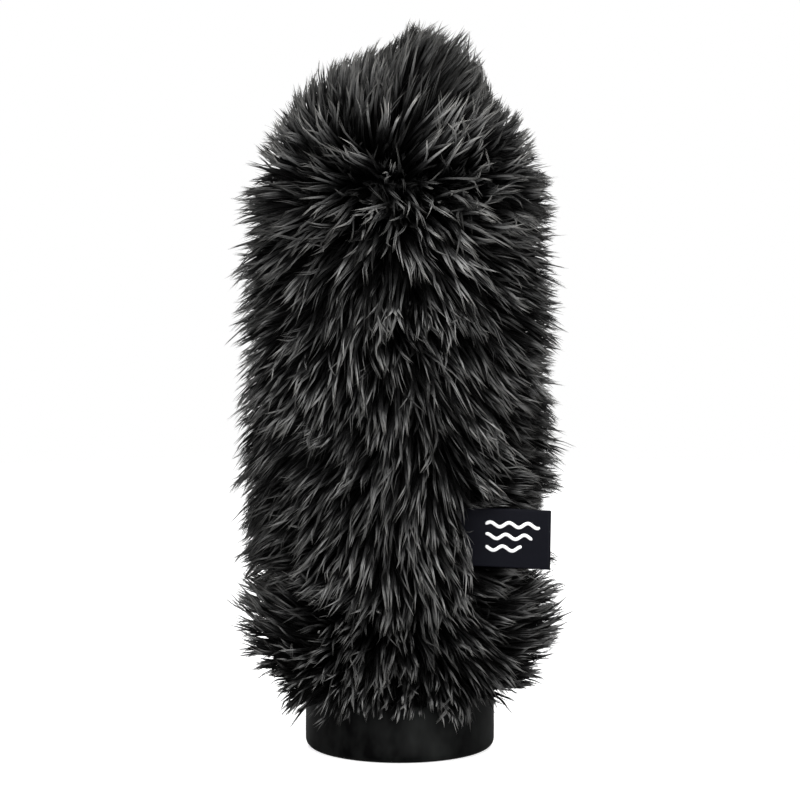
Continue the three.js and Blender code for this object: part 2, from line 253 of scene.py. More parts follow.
def rubber_material(name, dark, light, roughness, specular=0.12, grain=1500.0, strength=0.22):
    """Grained moulding with soft upright streaks of painted reflection in its colour."""
    m = Material(name)
    at = m.coords()
    fine_grain = m.noise(grain, 3.0, 0.6, at)
    coarse_grain = m.noise(grain / 9, at=at)
    cloudy = m.noise(38.0, at=at)
    angle, z = m.polar()
    # painted reflection: soft upright streaks in the colour stand in for the sheen of glossy rubber
    painted_reflection_at = m.join(
        m.math("MULTIPLY", m.math("COSINE", angle), 0.9),
        m.math("MULTIPLY", m.math("SINE", angle), 0.9),
        m.math("MULTIPLY", z, 0.022),
    )
    painted_reflection = m.math("SUBTRACT", m.noise(3.1, at=painted_reflection_at), 0.40)
    speckle = m.math("MULTIPLY", coarse_grain, 0.10)
    tone = m.math("MULTIPLY_ADD", painted_reflection, 2.7, speckle, clamp=True)
    rough = m.math("MULTIPLY_ADD", fine_grain, 0.10, roughness - 0.10)
    rough = m.math("MULTIPLY_ADD", cloudy, 0.16, rough)
    under = m.bump(coarse_grain, strength=0.12, depth_mm=0.12)
    normal = m.bump(fine_grain, strength, depth_mm=0.05, under=under)
    return m.surface(m.mix(tone, dark, light), rough, specular, normal)


def foam_material(name, dark, light):
    """Open cells of two sizes."""
    m = Material(name)
    at = m.coords()
    large, small = m.cells(760.0, at), m.cells(1700.0, at)
    depth = m.math("ADD", m.math("MULTIPLY", large, 1.2), m.math("MULTIPLY", small, 0.5))
    cloudy = m.noise(scale=90.0, detail=2.0, at=at)
    tone = m.math("MULTIPLY_ADD", cloudy, 0.25, m.math("MULTIPLY", depth, 0.75), clamp=True)
    normal = m.bump(depth, strength=0.9, depth_mm=0.45)
    return m.surface(m.mix(tone, dark, light), 0.95, specular=0.10, normal=normal)


def tape_material(name, dark, light, pitch_mm, slope, roughness):
    """Twill: diagonal ribs of thread, crossed by finer ones."""
    m = Material(name)
    angle, z = m.polar()
    round_mm = m.math("MULTIPLY", angle, 26.0)
    diagonal = m.math("ADD", round_mm, m.math("MULTIPLY", z, slope))
    rib = m.wave(m.math("MULTIPLY", diagonal, 2 * math.pi / pitch_mm))
    counter = m.math("SUBTRACT", round_mm, z)
    cross = m.wave(m.math("MULTIPLY", counter, 2 * math.pi / (pitch_mm * 0.7)))
    fuzz = m.noise(scale=2400.0, detail=2.0)
    height = m.math("ADD", m.math("MULTIPLY", rib, 0.75), m.math("MULTIPLY", cross, 0.25))
    tone = m.math("MULTIPLY_ADD", fuzz, 0.35, m.math("MULTIPLY", height, 0.65), clamp=True)
    normal = m.bump(height, strength=0.6, depth_mm=0.10)
    return m.surface(m.mix(tone, dark, light), roughness, specular=0.15, normal=normal)


def elastic_material(name, dark, light):
    """Ribbed elastic: cords run round, covered by crossing yarn."""
    m = Material(name)
    angle, z = m.polar()
    cord = m.wave(m.math("MULTIPLY", z, 2 * math.pi / 0.9))
    yarn = m.wave(m.math("MULTIPLY", angle, 330.0))
    height = m.math("MULTIPLY_ADD", yarn, 0.35, m.math("MULTIPLY", cord, 0.65))
    normal = m.bump(height, strength=0.7, depth_mm=0.16)
    return m.surface(m.mix(height, dark, light), 0.8, specular=0.15, normal=normal)


def tag_material(name, dark, light, pitch_mm):
    """Woven satin of the side label: fine diagonal twill with a few slubs."""
    m = Material(name)
    x, y, z = m.split(m.coords())
    along = m.math(
        "ADD",
        m.math("MULTIPLY", x, LABEL_COS * 1000),
        m.math("MULTIPLY", y, LABEL_SIN * 1000),
    )
    up = m.math("MULTIPLY", z, 1000.0)
    rate = 2 * math.pi / pitch_mm
    twill = m.wave(m.math("MULTIPLY", m.math("ADD", along, up), rate))
    weft = m.wave(m.math("MULTIPLY", up, rate * 1.6))
    slub = m.noise(scale=900.0, roughness=0.6)
    cloudy = m.noise(scale=130.0, detail=2.0)
    height = m.math("ADD", m.math("MULTIPLY", twill, 0.6), m.math("MULTIPLY", weft, 0.4))
    mottle = m.math("MULTIPLY_ADD", slub, 0.35, m.math("MULTIPLY", cloudy, 0.25))
    tone = m.math("ADD", m.math("MULTIPLY", height, 0.40), mottle, clamp=True)
    under = m.bump(slub, strength=0.25, depth_mm=0.08)
    normal = m.bump(height, strength=0.5, depth_mm=0.06, under=under)
    rough = m.math("MULTIPLY_ADD", slub, 0.2, 0.55 - 0.1)
    return m.surface(m.mix(tone, dark, light), rough, specular=0.05, normal=normal)


# Near-black roots are painted shade deep in the pile, and the pale tips are partly painted highlight
# on the ends of the locks.
FUR_STOPS = [  # place between root and tip, colour
    (0.0, (0.0003, 0.0003, 0.0003)),
    (0.56, (0.0007, 0.0007, 0.0007)),
    (0.70, (0.008, 0.008, 0.0081)),
    (0.83, (0.095, 0.095, 0.094)),
    (1.0, (0.215, 0.211, 0.200)),
]
FUR = fur_material("fur_strands", FUR_STOPS, low=0.05, high=3.1, power=1.8)
# The rubbers swing between their two colours in streaks of painted reflection.
RUBBER = rubber_material(
    "cup_rubber", (0.0004, 0.0004, 0.0005), (0.0100, 0.0108, 0.0104), roughness=0.46, specular=0.03
)
GRIP = rubber_material(
    "grip_rubber", (0.006, 0.006, 0.0065), (0.016, 0.016, 0.0175), roughness=0.62, grain=2200.0
)
NYLON = rubber_material(
    "collar_nylon", (0.014, 0.014, 0.015), (0.03, 0.03, 0.032),
    roughness=0.42, grain=900.0, strength=0.12,
)
FOAM = foam_material("foam_cells", (0.006, 0.006, 0.007), (0.060, 0.060, 0.064))
SOCK = knit_material(
    "sock_knit", (0.0012, 0.0012, 0.0014), (0.0150, 0.0153, 0.0168),
    loop_mm=0.95, course_mm=0.80, sheen=0.04,
)
LINING = knit_material(
    "lining_knit", (0.0015, 0.0015, 0.0018), (0.0140, 0.0143, 0.0158),
    loop_mm=0.7, course_mm=0.6, sheen=0.04,
)
BACKING = knit_material(
    "backing_knit", (0.002, 0.002, 0.002), (0.010, 0.010, 0.010),
    loop_mm=1.1, course_mm=0.9, sheen=0.0,
)
TAPE = tape_material(
    "seam_tape", (0.004, 0.004, 0.0045), (0.022, 0.022, 0.024),
    pitch_mm=0.55, slope=1.0, roughness=0.78,
)
ELASTIC = elastic_material("elastic", (0.002, 0.002, 0.0024), (0.020, 0.020, 0.022))
TAG = tag_material(
    "label_weave", (0.0007, 0.0008, 0.0016), (0.0040, 0.0044, 0.0072), pitch_mm=0.42
)
TAG_MARK = tag_material(
    "label_mark_yarn", (0.42, 0.42, 0.43), (0.86, 0.86, 0.86), pitch_mm=0.36
)
THREAD = tape_material(
    "thread", (0.010, 0.010, 0.011), (0.050, 0.050, 0.053),
    pitch_mm=0.30, slope=0.4, roughness=0.7,
)

# ------------------------------------------------------------------ mesh helpers


def mesh_object(name, verts_mm, triangles, material, body, uv=None, replaces=None):
    """A smooth mesh riding on a body; uv holds one pair per vertex."""
    verts = np.asarray(verts_mm, np.float32) * MM
    faces = np.asarray(triangles, np.int32)
    mesh = bpy.data.meshes.new(name)
    mesh.vertices.add(len(verts))
    mesh.vertices.foreach_set("co", verts.ravel())
    mesh.loops.add(faces.size)
    mesh.loops.foreach_set("vertex_index", faces.ravel())
    mesh.polygons.add(len(faces))
    mesh.polygons.foreach_set("loop_start", np.arange(0, faces.size, 3, dtype=np.int32))
    if uv is not None:
        layer = mesh.uv_layers.new(name="OFBake")
        layer.uv.foreach_set("vector", np.asarray(uv, np.float32)[faces.ravel()].ravel())
    mesh.update(calc_edges=True)
    mesh.polygons.foreach_set("use_smooth", np.full(len(faces), True, bool))
    mesh.materials.append(material)
    ob = bpy.data.objects.new(name, mesh)
    scene.collection.objects.link(ob)
    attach(ob, body)
    if replaces:
        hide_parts(replaces)
    return ob


def run(points, step):
    """An open run of points with none further apart than step."""
    out = []
    for start, end in zip(points[:-1], points[1:]):
        start, end = np.array(start, float), np.array(end, float)
        pieces = max(1, int(math.ceil(np.linalg.norm(end - start) / step)))
        out += [tuple(start + (end - start) * j / pieces) for j in range(pieces)]
    return out + [tuple(points[-1])]


def fine(profile, step):
    """The same for a closed profile."""
    return run(profile + [profile[0]], step)[:-1]


def dome_arc(radius, start, end, steps):
    """(radius, height) points of a layer's dome, from start to end degrees above its rim."""
    height = radius - DOME_DROP
    return [
        (0.0 if abs(t - math.pi / 2) <= 1e-6 else radius * math.cos(t), DOME_Z + height * math.sin(t))
        for t in np.radians(np.linspace(start, end, steps + 1))
    ]


def turned(name, profile, material, body, segments=144, warp=None, replaces=None):
    """Turns a closed (radius, height) profile round Z. A profile touching the axis closes there."""
    points = np.array(profile, float)
    radius, height = points.T
    if np.sum(radius * np.roll(height, -1) - np.roll(radius, -1) * height) < 0:
        points = points[::-1]
    angle = np.arange(segments) * 2 * math.pi / segments
    rings, verts, count = [], [], 0
    for r, z in points:
        size = 1 if r < 1e-6 else segments
        turn = angle[:size]
        verts.append(np.stack([r * np.cos(turn), r * np.sin(turn), np.full(size, z)], 1))
        rings.append(np.broadcast_to(np.arange(count, count + size), segments))
        count += size
    faces = []
    for ring, following in zip(rings, rings[1:] + rings[:1]):
        a, b = ring, np.roll(ring, -1)
        c, d = following, np.roll(following, -1)
        if a[0] != a[-1]:
            faces.append(np.stack([a, b, d], 1))
        if c[0] != c[-1]:
            faces.append(np.stack([a, d, c], 1))
    verts = np.concatenate(verts)
    if warp is not None:
        verts = warp(verts)
    return mesh_object(
        name, verts, np.concatenate(faces), material, body, replaces=replaces
    )


def walls(rows, size, base=0):
    """Triangles between stacked closed loops of equal size."""
    faces = []
    for i in range(rows - 1):
        for j in range(size):
            p, q = base + i * size + j, base + i * size + (j + 1) % size
            faces += [(p, q, q + size), (p, q + size, p + size)]
    return faces


def tube_faces(rows, size, base=0):
    """Walls closed by a fan at each end."""
    faces = walls(rows, size, base)
    end = base + (rows - 1) * size
    for j in range(1, size - 1):
        faces += [(base, base + j + 1, base + j), (end, end + j, end + j + 1)]
    return faces


def strip_faces(rows, size):
    """Walls of a flat loop (out along one side, back along the other), closed by strips."""
    faces = walls(rows, size)
    top = (rows - 1) * size
    for j in range(size // 2 - 1):
        a, b, c, d = j, j + 1, size - 2 - j, size - 1 - j
        faces += [(a, c, b), (a, d, c)]
        faces += [(top + a, top + b, top + c), (top + a, top + c, top + d)]
    return faces


def flipped(faces):
    return [(a, c, b) for a, b, c in faces]


def unit(v):
    return v / np.maximum(np.linalg.norm(v, axis=-1, keepdims=True), 1e-9)


def threads(name, paths, radius, body, replaces=None, sides=6):
    """Round threads along short paths of points, tapered a little at their ends."""
    verts, faces = [], []
    for path in paths:
        path = np.array(path, float)
        rows = len(path)
        ahead = np.empty_like(path)
        ahead[1:-1] = path[2:] - path[:-2]
        ahead[0], ahead[-1] = path[1] - path[0], path[-1] - path[-2]
        ahead = unit(ahead)
        helper = np.array([0.0, 0.0, 1.0] if abs(ahead[0, 2]) < 0.8 else [1.0, 0.0, 0.0])
        side = unit(np.cross(ahead, helper))
        other = np.cross(ahead, side)
        width = radius * (1 - 0.55 * np.abs(np.linspace(-1, 1, rows)) ** 5)
        faces += tube_faces(rows, sides, base=len(verts))
        for i in range(rows):
            for j in range(sides):
                t = 2 * math.pi * j / sides
                out = math.cos(t) * side[i] + math.sin(t) * other[i]
                verts.append(path[i] + width[i] * out)
    mesh_object(name, np.array(verts), faces, THREAD, body, replaces=replaces)


# ------------------------------------------------------------------ shaping helpers


def bell(x, centre, width):
    return np.exp(-(((x - centre) / width) ** 2))


def ease(x, start, span):
    """0 at start, 1 a span further on; a negative span rises the other way."""
    return np.clip((x - start) / span, 0, 1)


def vnoise(points, scale, seed=0):
    """Smooth value noise in [-1, 1] at (N, 3) points."""
    place = points / scale + seed * 17.31
    cell = np.floor(place).astype(np.int64)
    f = place - cell
    f = f * f * (3 - 2 * f)
    out = np.zeros(len(points))
    for dx in (0, 1):
        for dy in (0, 1):
            for dz in (0, 1):
                h = (
                    (cell[:, 0] + dx) * 374761393
                    + (cell[:, 1] + dy) * 668265263
                    + (cell[:, 2] + dz) * 2147483647
                    + seed * 974634777
                )
                h = (h ^ (h >> 13)) * 1274126177
                h = (h ^ (h >> 16)) & 0xFFFFFF
                weight = (
                    (f[:, 0] if dx else 1 - f[:, 0])
                    * (f[:, 1] if dy else 1 - f[:, 1])
                    * (f[:, 2] if dz else 1 - f[:, 2])
                )
                out += weight * (h / 0xFFFFFF * 2 - 1)
    return out


TURN = np.array([[0.36, 0.48, -0.80], [-0.80, 0.60, 0.0], [0.48, 0.64, 0.60]])


def soft(v, scale, seed, squash=1.0):
    """Two octaves of noise, turned off the axes; a low squash draws it out in height."""
    turned_points = (v * np.array([1, 1, squash])) @ TURN.T
    return 0.7 * vnoise(turned_points, scale, seed) + 0.3 * vnoise(
        turned_points, scale * 0.47, seed + 1
    )


def cylindrical(v):
    """Angle, radius and height of points."""
    return np.arctan2(v[:, 1], v[:, 0]), np.hypot(v[:, 0], v[:, 1]), v[:, 2]


def from_dome(r, z):
    """Distance from the axis, or from the dome's centre above it, and at least 3."""
    return np.maximum(np.sqrt(r**2 + np.clip(z - DOME_Z, 0, None) ** 2), 3)


def swell(v, offset, distance):
    """A copy moved outwards by offset at that distance from the axis."""
    v = v.copy()
    v[:, :2] *= (1 + offset / distance)[:, None]
    return v


# ------------------------------------------------------------------ lie of the pile

# Columns: angle from the front in degrees (positive to the right), rise up the backing in mm
# (the dome starts at 163), lie of the pile to the right, lie upwards, lean of the tips from the
# backing's normal in degrees, height of the tips above the backing in mm.
FLOW = np.array([
    # fringe over the cup
    (-150, 19, -0.1, -1.0, 58, 6.5), (-95, 19, -0.6, -0.3, 30, 6.0), (-62, 19, -0.5, -0.8, 46, 6.5),
    (-42, 19, -0.35, -1.0, 60, 6.0), (-17, 19, -0.1, -1.0, 36, 3.8), (14, 19, 0.1, -1.0, 34, 3.8),
    (40, 19, 0.35, -1.0, 60, 6.0), (62, 19, 0.7, -0.5, 46, 8.0), (95, 19, 0.5, -0.2, 24, 9.5),
    (150, 19, 0.1, -1.0, 58, 7.0),
    (-150, 25, -0.1, -1.0, 44, 12.0), (-95, 25, -0.8, -0.1, 22, 14.0),
    (-50, 25, -0.5, -0.8, 48, 12.5), (0, 25, 0.0, -1.0, 34, 8.5), (-25, 25, -0.2, -1.0, 40, 10.0),
    (25, 25, 0.2, -1.0, 40, 10.0), (50, 25, 0.5, -0.8, 46, 12.5), (95, 25, 0.7, 0.0, 18, 14.5),
    (150, 25, 0.1, -1.0, 44, 12.0),
    # skirt
    (-150, 30, -0.2, -0.9, 34, 17.0), (-100, 30, -0.8, 0.0, 18, 22.0),
    (-72, 30, -0.6, 0.85, 44, 20.0), (-45, 30, -0.4, 0.8, 44, 16.5),
    (-20, 30, -0.2, -1.0, 42, 14.5), (10, 30, 0.1, -1.0, 41, 14.0), (35, 30, 0.6, -0.7, 42, 15.5),
    (68, 30, 0.65, 0.75, 40, 18.5), (100, 30, 0.7, 0.1, 16, 20.0), (150, 30, 0.2, -0.8, 34, 17.0),
    (-150, 43, -0.3, -0.6, 30, 17.0), (-100, 42, -0.7, 0.5, 20, 19.5),
    (-66, 42, -0.5, 1.0, 46, 17.5), (-40, 42, -0.3, 1.0, 44, 15.5), (-10, 42, 0.0, -0.9, 36, 15.5),
    (20, 42, 0.2, -0.9, 40, 16.0), (45, 42, 0.8, 0.2, 38, 16.5), (70, 42, 0.6, 0.9, 42, 17.5),
    (105, 42, 0.6, 0.3, 18, 20.0), (150, 42, 0.3, -0.6, 30, 17.0),
    # waist seam: a shallow valley
    (-120, 50, -0.4, -0.5, 20, 14.5), (-60, 50, -0.6, 0.1, 26, 14.5), (0, 50, 0.0, -1.0, 38, 15.0),
    (60, 50, 0.6, 0.0, 26, 14.5), (120, 50, 0.4, -0.5, 20, 14.5), (180, 50, 0.0, -0.9, 30, 15.0),
    # lower body
    (-150, 66, -0.3, -0.9, 32, 17.5), (-100, 66, -0.3, -0.9, 28, 18.0),
    (-60, 66, -0.6, -0.8, 38, 17.5), (-25, 66, -0.3, -1.0, 42, 16.5), (5, 66, 0.1, -1.0, 45, 16.5),
    (28, 66, 0.5, -0.9, 44, 16.5), (60, 80, 0.9, -0.15, 34, 17.0), (100, 66, 0.5, -0.5, 24, 17.5),
    (150, 66, 0.3, -0.9, 32, 17.5),
    # middle of the body
    (-150, 100, -0.2, -1.0, 34, 17.5), (-100, 100, -0.3, -0.9, 28, 18.0),
    (-62, 100, -0.55, -0.85, 38, 17.5), (-30, 100, -0.4, -0.95, 43, 16.5),
    (0, 100, 0.05, -1.0, 49, 16.0), (28, 100, 0.35, -0.95, 45, 16.0),
    (62, 100, 0.6, -0.7, 36, 17.5), (100, 100, 0.4, -0.35, 18, 17.0),
    (150, 100, 0.3, -1.0, 34, 17.5),
    # upper body
    (-150, 135, -0.2, -1.0, 34, 17.5), (-100, 135, -0.3, -0.6, 24, 18.0),
    (-62, 135, -0.6, -0.85, 38, 17.5), (-30, 135, -0.45, -0.9, 44, 16.5),
    (0, 135, 0.0, -1.0, 51, 15.5), (28, 135, 0.35, -0.95, 46, 16.0),
    (62, 135, 0.7, -0.6, 34, 17.0), (100, 135, 0.5, 0.0, 14, 16.5), (150, 135, 0.3, -0.9, 34, 17.0),
    # shoulder below the parting
    (-150, 156, -0.3, -0.1, 20, 16.5), (-100, 156, -0.5, 0.0, 18, 17.6),
    (-60, 156, -0.85, -0.5, 38, 17.0), (-28, 156, -0.5, -0.8, 46, 15.5),
    (0, 156, 0.0, -1.0, 52, 15.0), (28, 156, 0.4, -0.8, 46, 15.0), (60, 156, 0.85, -0.3, 35, 16.0),
    (100, 156, 0.4, 0.2, 16, 17.0), (150, 156, 0.3, -0.1, 20, 16.0), (180, 156, 0.0, -0.2, 18, 16.5),
    # crown above the parting
    (-150, 170, -0.3, 0.5, 26, 14.5), (-100, 168, -0.4, 0.7, 28, 13.5),
    (-60, 168, -0.8, 0.8, 42, 13.5), (-28, 168, -0.35, 1.0, 50, 13.5),
    (0, 168, 0.60, 1.0, 54, 13.5), (28, 168, 1.0, 0.9, 54, 12.5), (60, 168, 0.7, 0.7, 40, 12.0),
    (100, 168, 0.4, 0.6, 26, 12.5), (150, 170, 0.2, 0.6, 30, 14.0),
    (-120, 182, -0.3, 0.9, 36, 12.5), (-60, 182, -0.4, 1.0, 44, 12.5),
    (-20, 182, 0.0, 1.0, 50, 13.5), (20, 182, 0.9, 1.0, 56, 14.5), (60, 182, 0.5, 0.9, 46, 11.0),
    (120, 182, 0.2, 0.9, 36, 12.0), (180, 182, 0.0, 1.0, 40, 13.5),
], float)

# Front silhouette of the crown as (x, z): a tuft right of centre over a sloping left shoulder.
CROWN_OUTLINE = np.array([
    (-48, 151), (-44.5, 167.5), (-40.6, 173.5), (-37.1, 178.5), (-31.7, 184.0), (-30.5, 189.5),
    (-26.0, 194.0), (-18.3, 198.5), (-4.3, 202.0), (0.6, 205.5), (3.4, 210.0), (6.5, 205.5),
    (10.8, 208.0), (13.0, 205.0), (15.4, 205.0), (19.1, 207.0), (21.2, 202.5), (23.4, 196.0),
    (24.8, 190.5), (28.5, 186.0), (33.7, 183.0), (37.6, 179.0), (39.5, 175.5), (42.5, 167.0),
    (46, 153),
])

# Painted shade: darker patches in the pile's colour. Angle, rise, half width of each, how much
# darker.
SHADE = [
    (-50, 156, 34, 16, 0.40), (-35, 44, 45, 8, 0.40), (66, 146, 30, 18, 0.26),
    (-40, 88, 22, 18, 0.24), (52, 95, 18, 26, 0.28), (-60, 60, 20, 8, 0.22),
]

# Strand roots lie just inside the outer face of the backing. Its dome is sampled by arc length.
ROOT_R, ROOT_DOME = BACK_OUT - 0.15, BACK_DOME - 0.15
ARC_ANGLE = np.linspace(0, math.pi / 2, 400)
ARC_RADIUS = ROOT_R * np.cos(ARC_ANGLE)
ARC_Z = DOME_Z + ROOT_DOME * np.sin(ARC_ANGLE)
ARC_LENGTH = np.concatenate([[0], np.cumsum(np.hypot(np.diff(ARC_RADIUS), np.diff(ARC_Z)))])
APEX = DOME_Z + ARC_LENGTH[-1]


def flow_at(angle, rise):
    """Lie to the right, lie upwards, lean and height of the pile."""
    turn = (angle[:, None] - FLOW[None, :, 0] + 180.0) % 360.0 - 180.0
    climb = rise[:, None] - FLOW[None, :, 1]

    def region(at):
        return (at > DOME_Z) * 2.0 + (at > WAIST_Z) * 1.0

    # the parting and the waist seam divide the pile, so points reach little across them
    across = np.abs(region(rise)[:, None] - region(FLOW[:, 1])[None, :]) > 0.5
    reach_up = np.where(FLOW[:, 1] < 36, 5.0, 9.5)
    gap = (turn / 17.0) ** 2 + (climb / reach_up) ** 2 + across * 2.2
    weight = np.exp(-0.5 * gap) + 1e-5 * np.exp(-0.02 * gap)
    weight /= weight.sum(1, keepdims=True) if False else weight.sum(1, keepdims=True)
    return [weight @ FLOW[:, column] for column in range(2, 6)]


def backing_at(angle, rise):
    """Point, normal, right and up directions on the backing."""
    on_dome = rise > DOME_Z
    t = np.where(on_dome, np.interp(rise - DOME_Z, ARC_LENGTH, ARC_ANGLE), 0.0)
    r = np.where(on_dome, ROOT_R * np.cos(t), ROOT_R + 0.35 * ease(rise, 29, -2))
    z = np.where(on_dome, DOME_Z + ROOT_DOME * np.sin(t), rise)
    normal_r, normal_z = np.cos(t) / BACK_OUT, np.sin(t) / BACK_DOME
    size = np.hypot(normal_r, normal_z)
    normal_r, normal_z = normal_r / size, normal_z / size
    from_x = np.radians(angle) - math.pi / 2
    c, s = np.cos(from_x), np.sin(from_x)
    point = np.stack([r * c, r * s, z], 1)
    normal = np.stack([normal_r * c, normal_r * s, normal_z], 1)
    right = np.stack([-s, c, np.zeros_like(c)], 1)
    up = np.stack([-normal_z * c, -normal_z * s, normal_r], 1)
    return point, normal, right, up


def inside_crown(tips, slack):
    """True where a tip lies under the crown's outline, from the front and from the side."""
    front = np.interp(tips[:, 0], CROWN_OUTLINE[:, 0], CROWN_OUTLINE[:, 1])
    depth = np.clip(np.abs(tips[:, 1]) / 45.5, 0, 1)
    side = 158.0 + (46.0 + 6.5 * bell(tips[:, 0], 9, 14.0)) * np.sqrt(1 - depth**2)
    return (tips[:, 2] < np.minimum(front, side) - slack) | (tips[:, 2] < 158)


# ------------------------------------------------------------------ room for the label's swing


def from_hinge(points):
    """Distance and bearing from the label's hinge, seen from above."""
    dx, dy = points[..., 0] - HINGE[0], points[..., 1] - HINGE[1]
    return np.hypot(dx, dy), np.arctan2(dy, dx)


def swing_margin(distance):
    """Half thickness of the bowed label with its threads, as an angle at that distance."""
    return 0.03 + 1.05 / np.maximum(distance, 1.3)


def comb_round_label(curves, roots, rng):
    """Moves strands (N, K, 3) out of the space the label swings through."""
    distance, bearing = from_hinge(curves)
    behind = np.degrees(np.arctan2(roots[:, 1], roots[:, 0]))[:, None] > SEAM_ANGLE
    margin = swing_margin(distance)
    low, high = SWING_LOW - margin, SWING_HIGH + margin
    inside = (bearing > low) & (bearing < high)
    inside &= (distance < LABEL_LENGTH + 3.5) & (distance > 0.01)
    z = curves[..., 2]
    root_z = roots[:, 2][:, None]
    bottom, top = LABEL_Z0 - 0.8, LABEL_Z1 + 0.8
    spread = rng.random((len(curves), 1))
    # strands rooted above or below the label lie along its edges
    above = inside & (root_z >= top) & (z < top)
    below = inside & (root_z <= bottom) & (z > bottom)
    z = np.where(above, top + 1.2 * spread, z)
    z = np.where(below, bottom - 1.2 * spread, z)
    # strands rooted beside it lie against one face or stay clear in front
    level = inside & (root_z > bottom) & (root_z < top) & (z > bottom - 0.1) & (z < top + 0.1)
    bearing = np.where(behind, high + 0.02 + 0.30 * spread, low - 0.02 - 0.12 * spread)
    out = curves.copy()
    out[..., 0] = np.where(level, HINGE[0] + distance * np.cos(bearing), curves[..., 0])
    out[..., 1] = np.where(level, HINGE[1] + distance * np.sin(bearing), curves[..., 1])
    out[..., 2] = z
    return out


def in_swing(points):
    distance, bearing = from_hinge(points)
    # the tacks stand proud beside the hinge
    tack_room = np.where(distance < 3.0, 0.40 / np.maximum(distance, 1.3), 0.0)
    margin = swing_margin(distance) - 0.015 + tack_room
    swept = (bearing > SWING_LOW - margin) & (bearing < SWING_HIGH + margin)
    swept &= distance < LABEL_LENGTH + 1.2
    z = points[..., 2]
    return (swept | (distance < 1.5)) & (z > LABEL_Z0 - 0.5) & (z < LABEL_Z1 + 0.5)


# ------------------------------------------------------------------ locks and strands


def lock_roots(rng, first, last, gap_round, gap_up):
    """Scattered rows of lock roots: angle from the front and rise."""
    angles, rises, row = [], [], first
    while row < last:
        on_dome = row > DOME_Z
        r = float(np.interp(row - DOME_Z, ARC_LENGTH, ARC_RADIUS)) if on_dome else BACK_OUT
        count = max(3, int(round(2 * math.pi * r / gap_round)))
        even = (np.arange(count) + rng.random()) / count * 360 - 180
        angles.append(even + rng.normal(0, 0.30, count) * gap_round / r * 57.3)
        rises.append(row + rng.normal(0, 0.30, count) * gap_up)
        row += gap_up
    angle = (np.concatenate(angles) + 180) % 360 - 180
    return angle, np.clip(np.concatenate(rises), first, min(last, APEX - 0.5))


def tip_height(rng, height, root, angle, rise, peak):
    """Height of the tips, with disorder, the waist valley, fuller sides and the tuft."""
    side = np.abs(angle)
    height = height * (1 + 0.10 * vnoise(root, 7.0, 6) + rng.normal(0, 0.065, len(root)))
    notch = 0.14 + 0.30 * ease(side, 35, 25) * (1 - 0.65 * ease(side, 105, 20))
    height = height * (1 - notch * bell(rise, 50.5, 3.6))
    fuller = 0.10 * ease(side, 50, 25) * ease(rise, 24, 6) * ease(rise, 172, -10)
    return height * (1 + fuller) * (1 + 0.42 * peak)


def gather_tufts(rng, root, offset, tuft_size):
    """Leans neighbouring locks together, leaving dark gaps. Returns tip offsets, lightness."""
    count = len(root)
    order = np.random.default_rng(5).permutation(count)
    seeds = order[: max(1, int(count / tuft_size))]
    tufts = len(seeds)
    member = np.empty(count, np.int64)
    for i in range(0, count, 512):
        gap = ((root[i : i + 512, None] - root[None, seeds]) ** 2).sum(-1)
        member[i : i + 512] = np.argmin(gap, axis=1)
    size = np.bincount(member, minlength=tufts)[:, None]
    total = np.stack([np.bincount(member, (root + offset)[:, c], tufts) for c in range(3)], 1)
    middle = total / np.maximum(size, 1)
    pull = rng.uniform(0.28, 0.72, tufts)[member][:, None]
    offset = offset + pull * (middle[member] - (root + offset))
    offset = offset * rng.uniform(0.92, 1.04, tufts)[member][:, None]
    return offset, rng.random(tufts)[member]


def fit_crown(rng, root, rise, offset):
    """Adds a few longer wisps on top and shortens locks that leave the crown's outline."""
    slack = rng.gamma(1.3, 0.8, len(root))
    wisp = (np.abs(root[:, 0] - 1.5) < 3.2) & (rise > 186) & (np.abs(root[:, 1]) < 13)
    offset[wisp] = offset[wisp] * 1.12 + np.array([0, 0, 2.6])
    slack[wisp] *= 0.2
    for _ in range(14):
        outside = ~inside_crown(root + offset, slack)
        offset[outside] *= 0.95
    return offset


def grow_strands(rng, path, normal, right, parting, per_lock, stations, spread):
    """Strand curves about each lock's path, a Hermite curve (start, slope, end, slope)."""
    locks_count = len(normal)
    lock = np.repeat(np.arange(locks_count), per_lock)
    count = len(lock)
    turn = rng.random(count) * 2 * math.pi
    radius = np.sqrt(rng.random(count)) * spread
    radius = radius * np.repeat(rng.uniform(0.8, 1.2, locks_count), per_lock)
    across = unit(np.cross(normal[lock], right[lock]))
    offset = (np.cos(turn) * radius)[:, None] * right[lock]
    offset = offset + (np.sin(turn) * radius)[:, None] * across
    reach = 1.0 - (1.0 - 0.66) * rng.random(count) ** 1.2
    t = np.linspace(0, 1, stations)[None, :] * reach[:, None]
    start, start_slope, end, end_slope = (part[lock][:, None] for part in path)
    curve = (
        (2 * t**3 - 3 * t**2 + 1)[..., None] * start
        + (t**3 - 2 * t**2 + t)[..., None] * start_slope
        + (-2 * t**3 + 3 * t**2)[..., None] * end
        + (t**3 - t**2)[..., None] * end_slope
    )
    gather = 0.14 + 0.86 * (1 - t) ** 1.2
    strays = np.where(rng.random(count) < 0.10, rng.uniform(0.8, 2.2, count), 0.0)
    loose = strays[:, None] * t**1.5
    curve = curve + offset[:, None] * (gather + loose)[..., None]
    # slight wave in each lock and each strand
    curl_size = (rng.normal(0, 0.90, (locks_count, 3)) * (1 + 0.5 * parting)[:, None])[lock]
    curl_rate = rng.uniform(4, 7.5, locks_count)[lock][:, None]
    curl_phase = (rng.random(locks_count) * 6)[lock][:, None]
    curl = curl_size[:, None] * np.sin(t * curl_rate + curl_phase)[..., None]
    curl = curl * (t**1.3)[..., None]
    wave_size = rng.normal(0, 0.16, (count, 3))[:, None]
    wave_rate = rng.uniform(4, 9, count)[:, None]
    wave_phase = rng.random(count)[:, None] * 6
    wave = wave_size * np.sin(t * wave_rate + wave_phase)[..., None] * (t**1.2)[..., None]
    return lock, curve + wave + curl, start[:, 0] + offset, reach


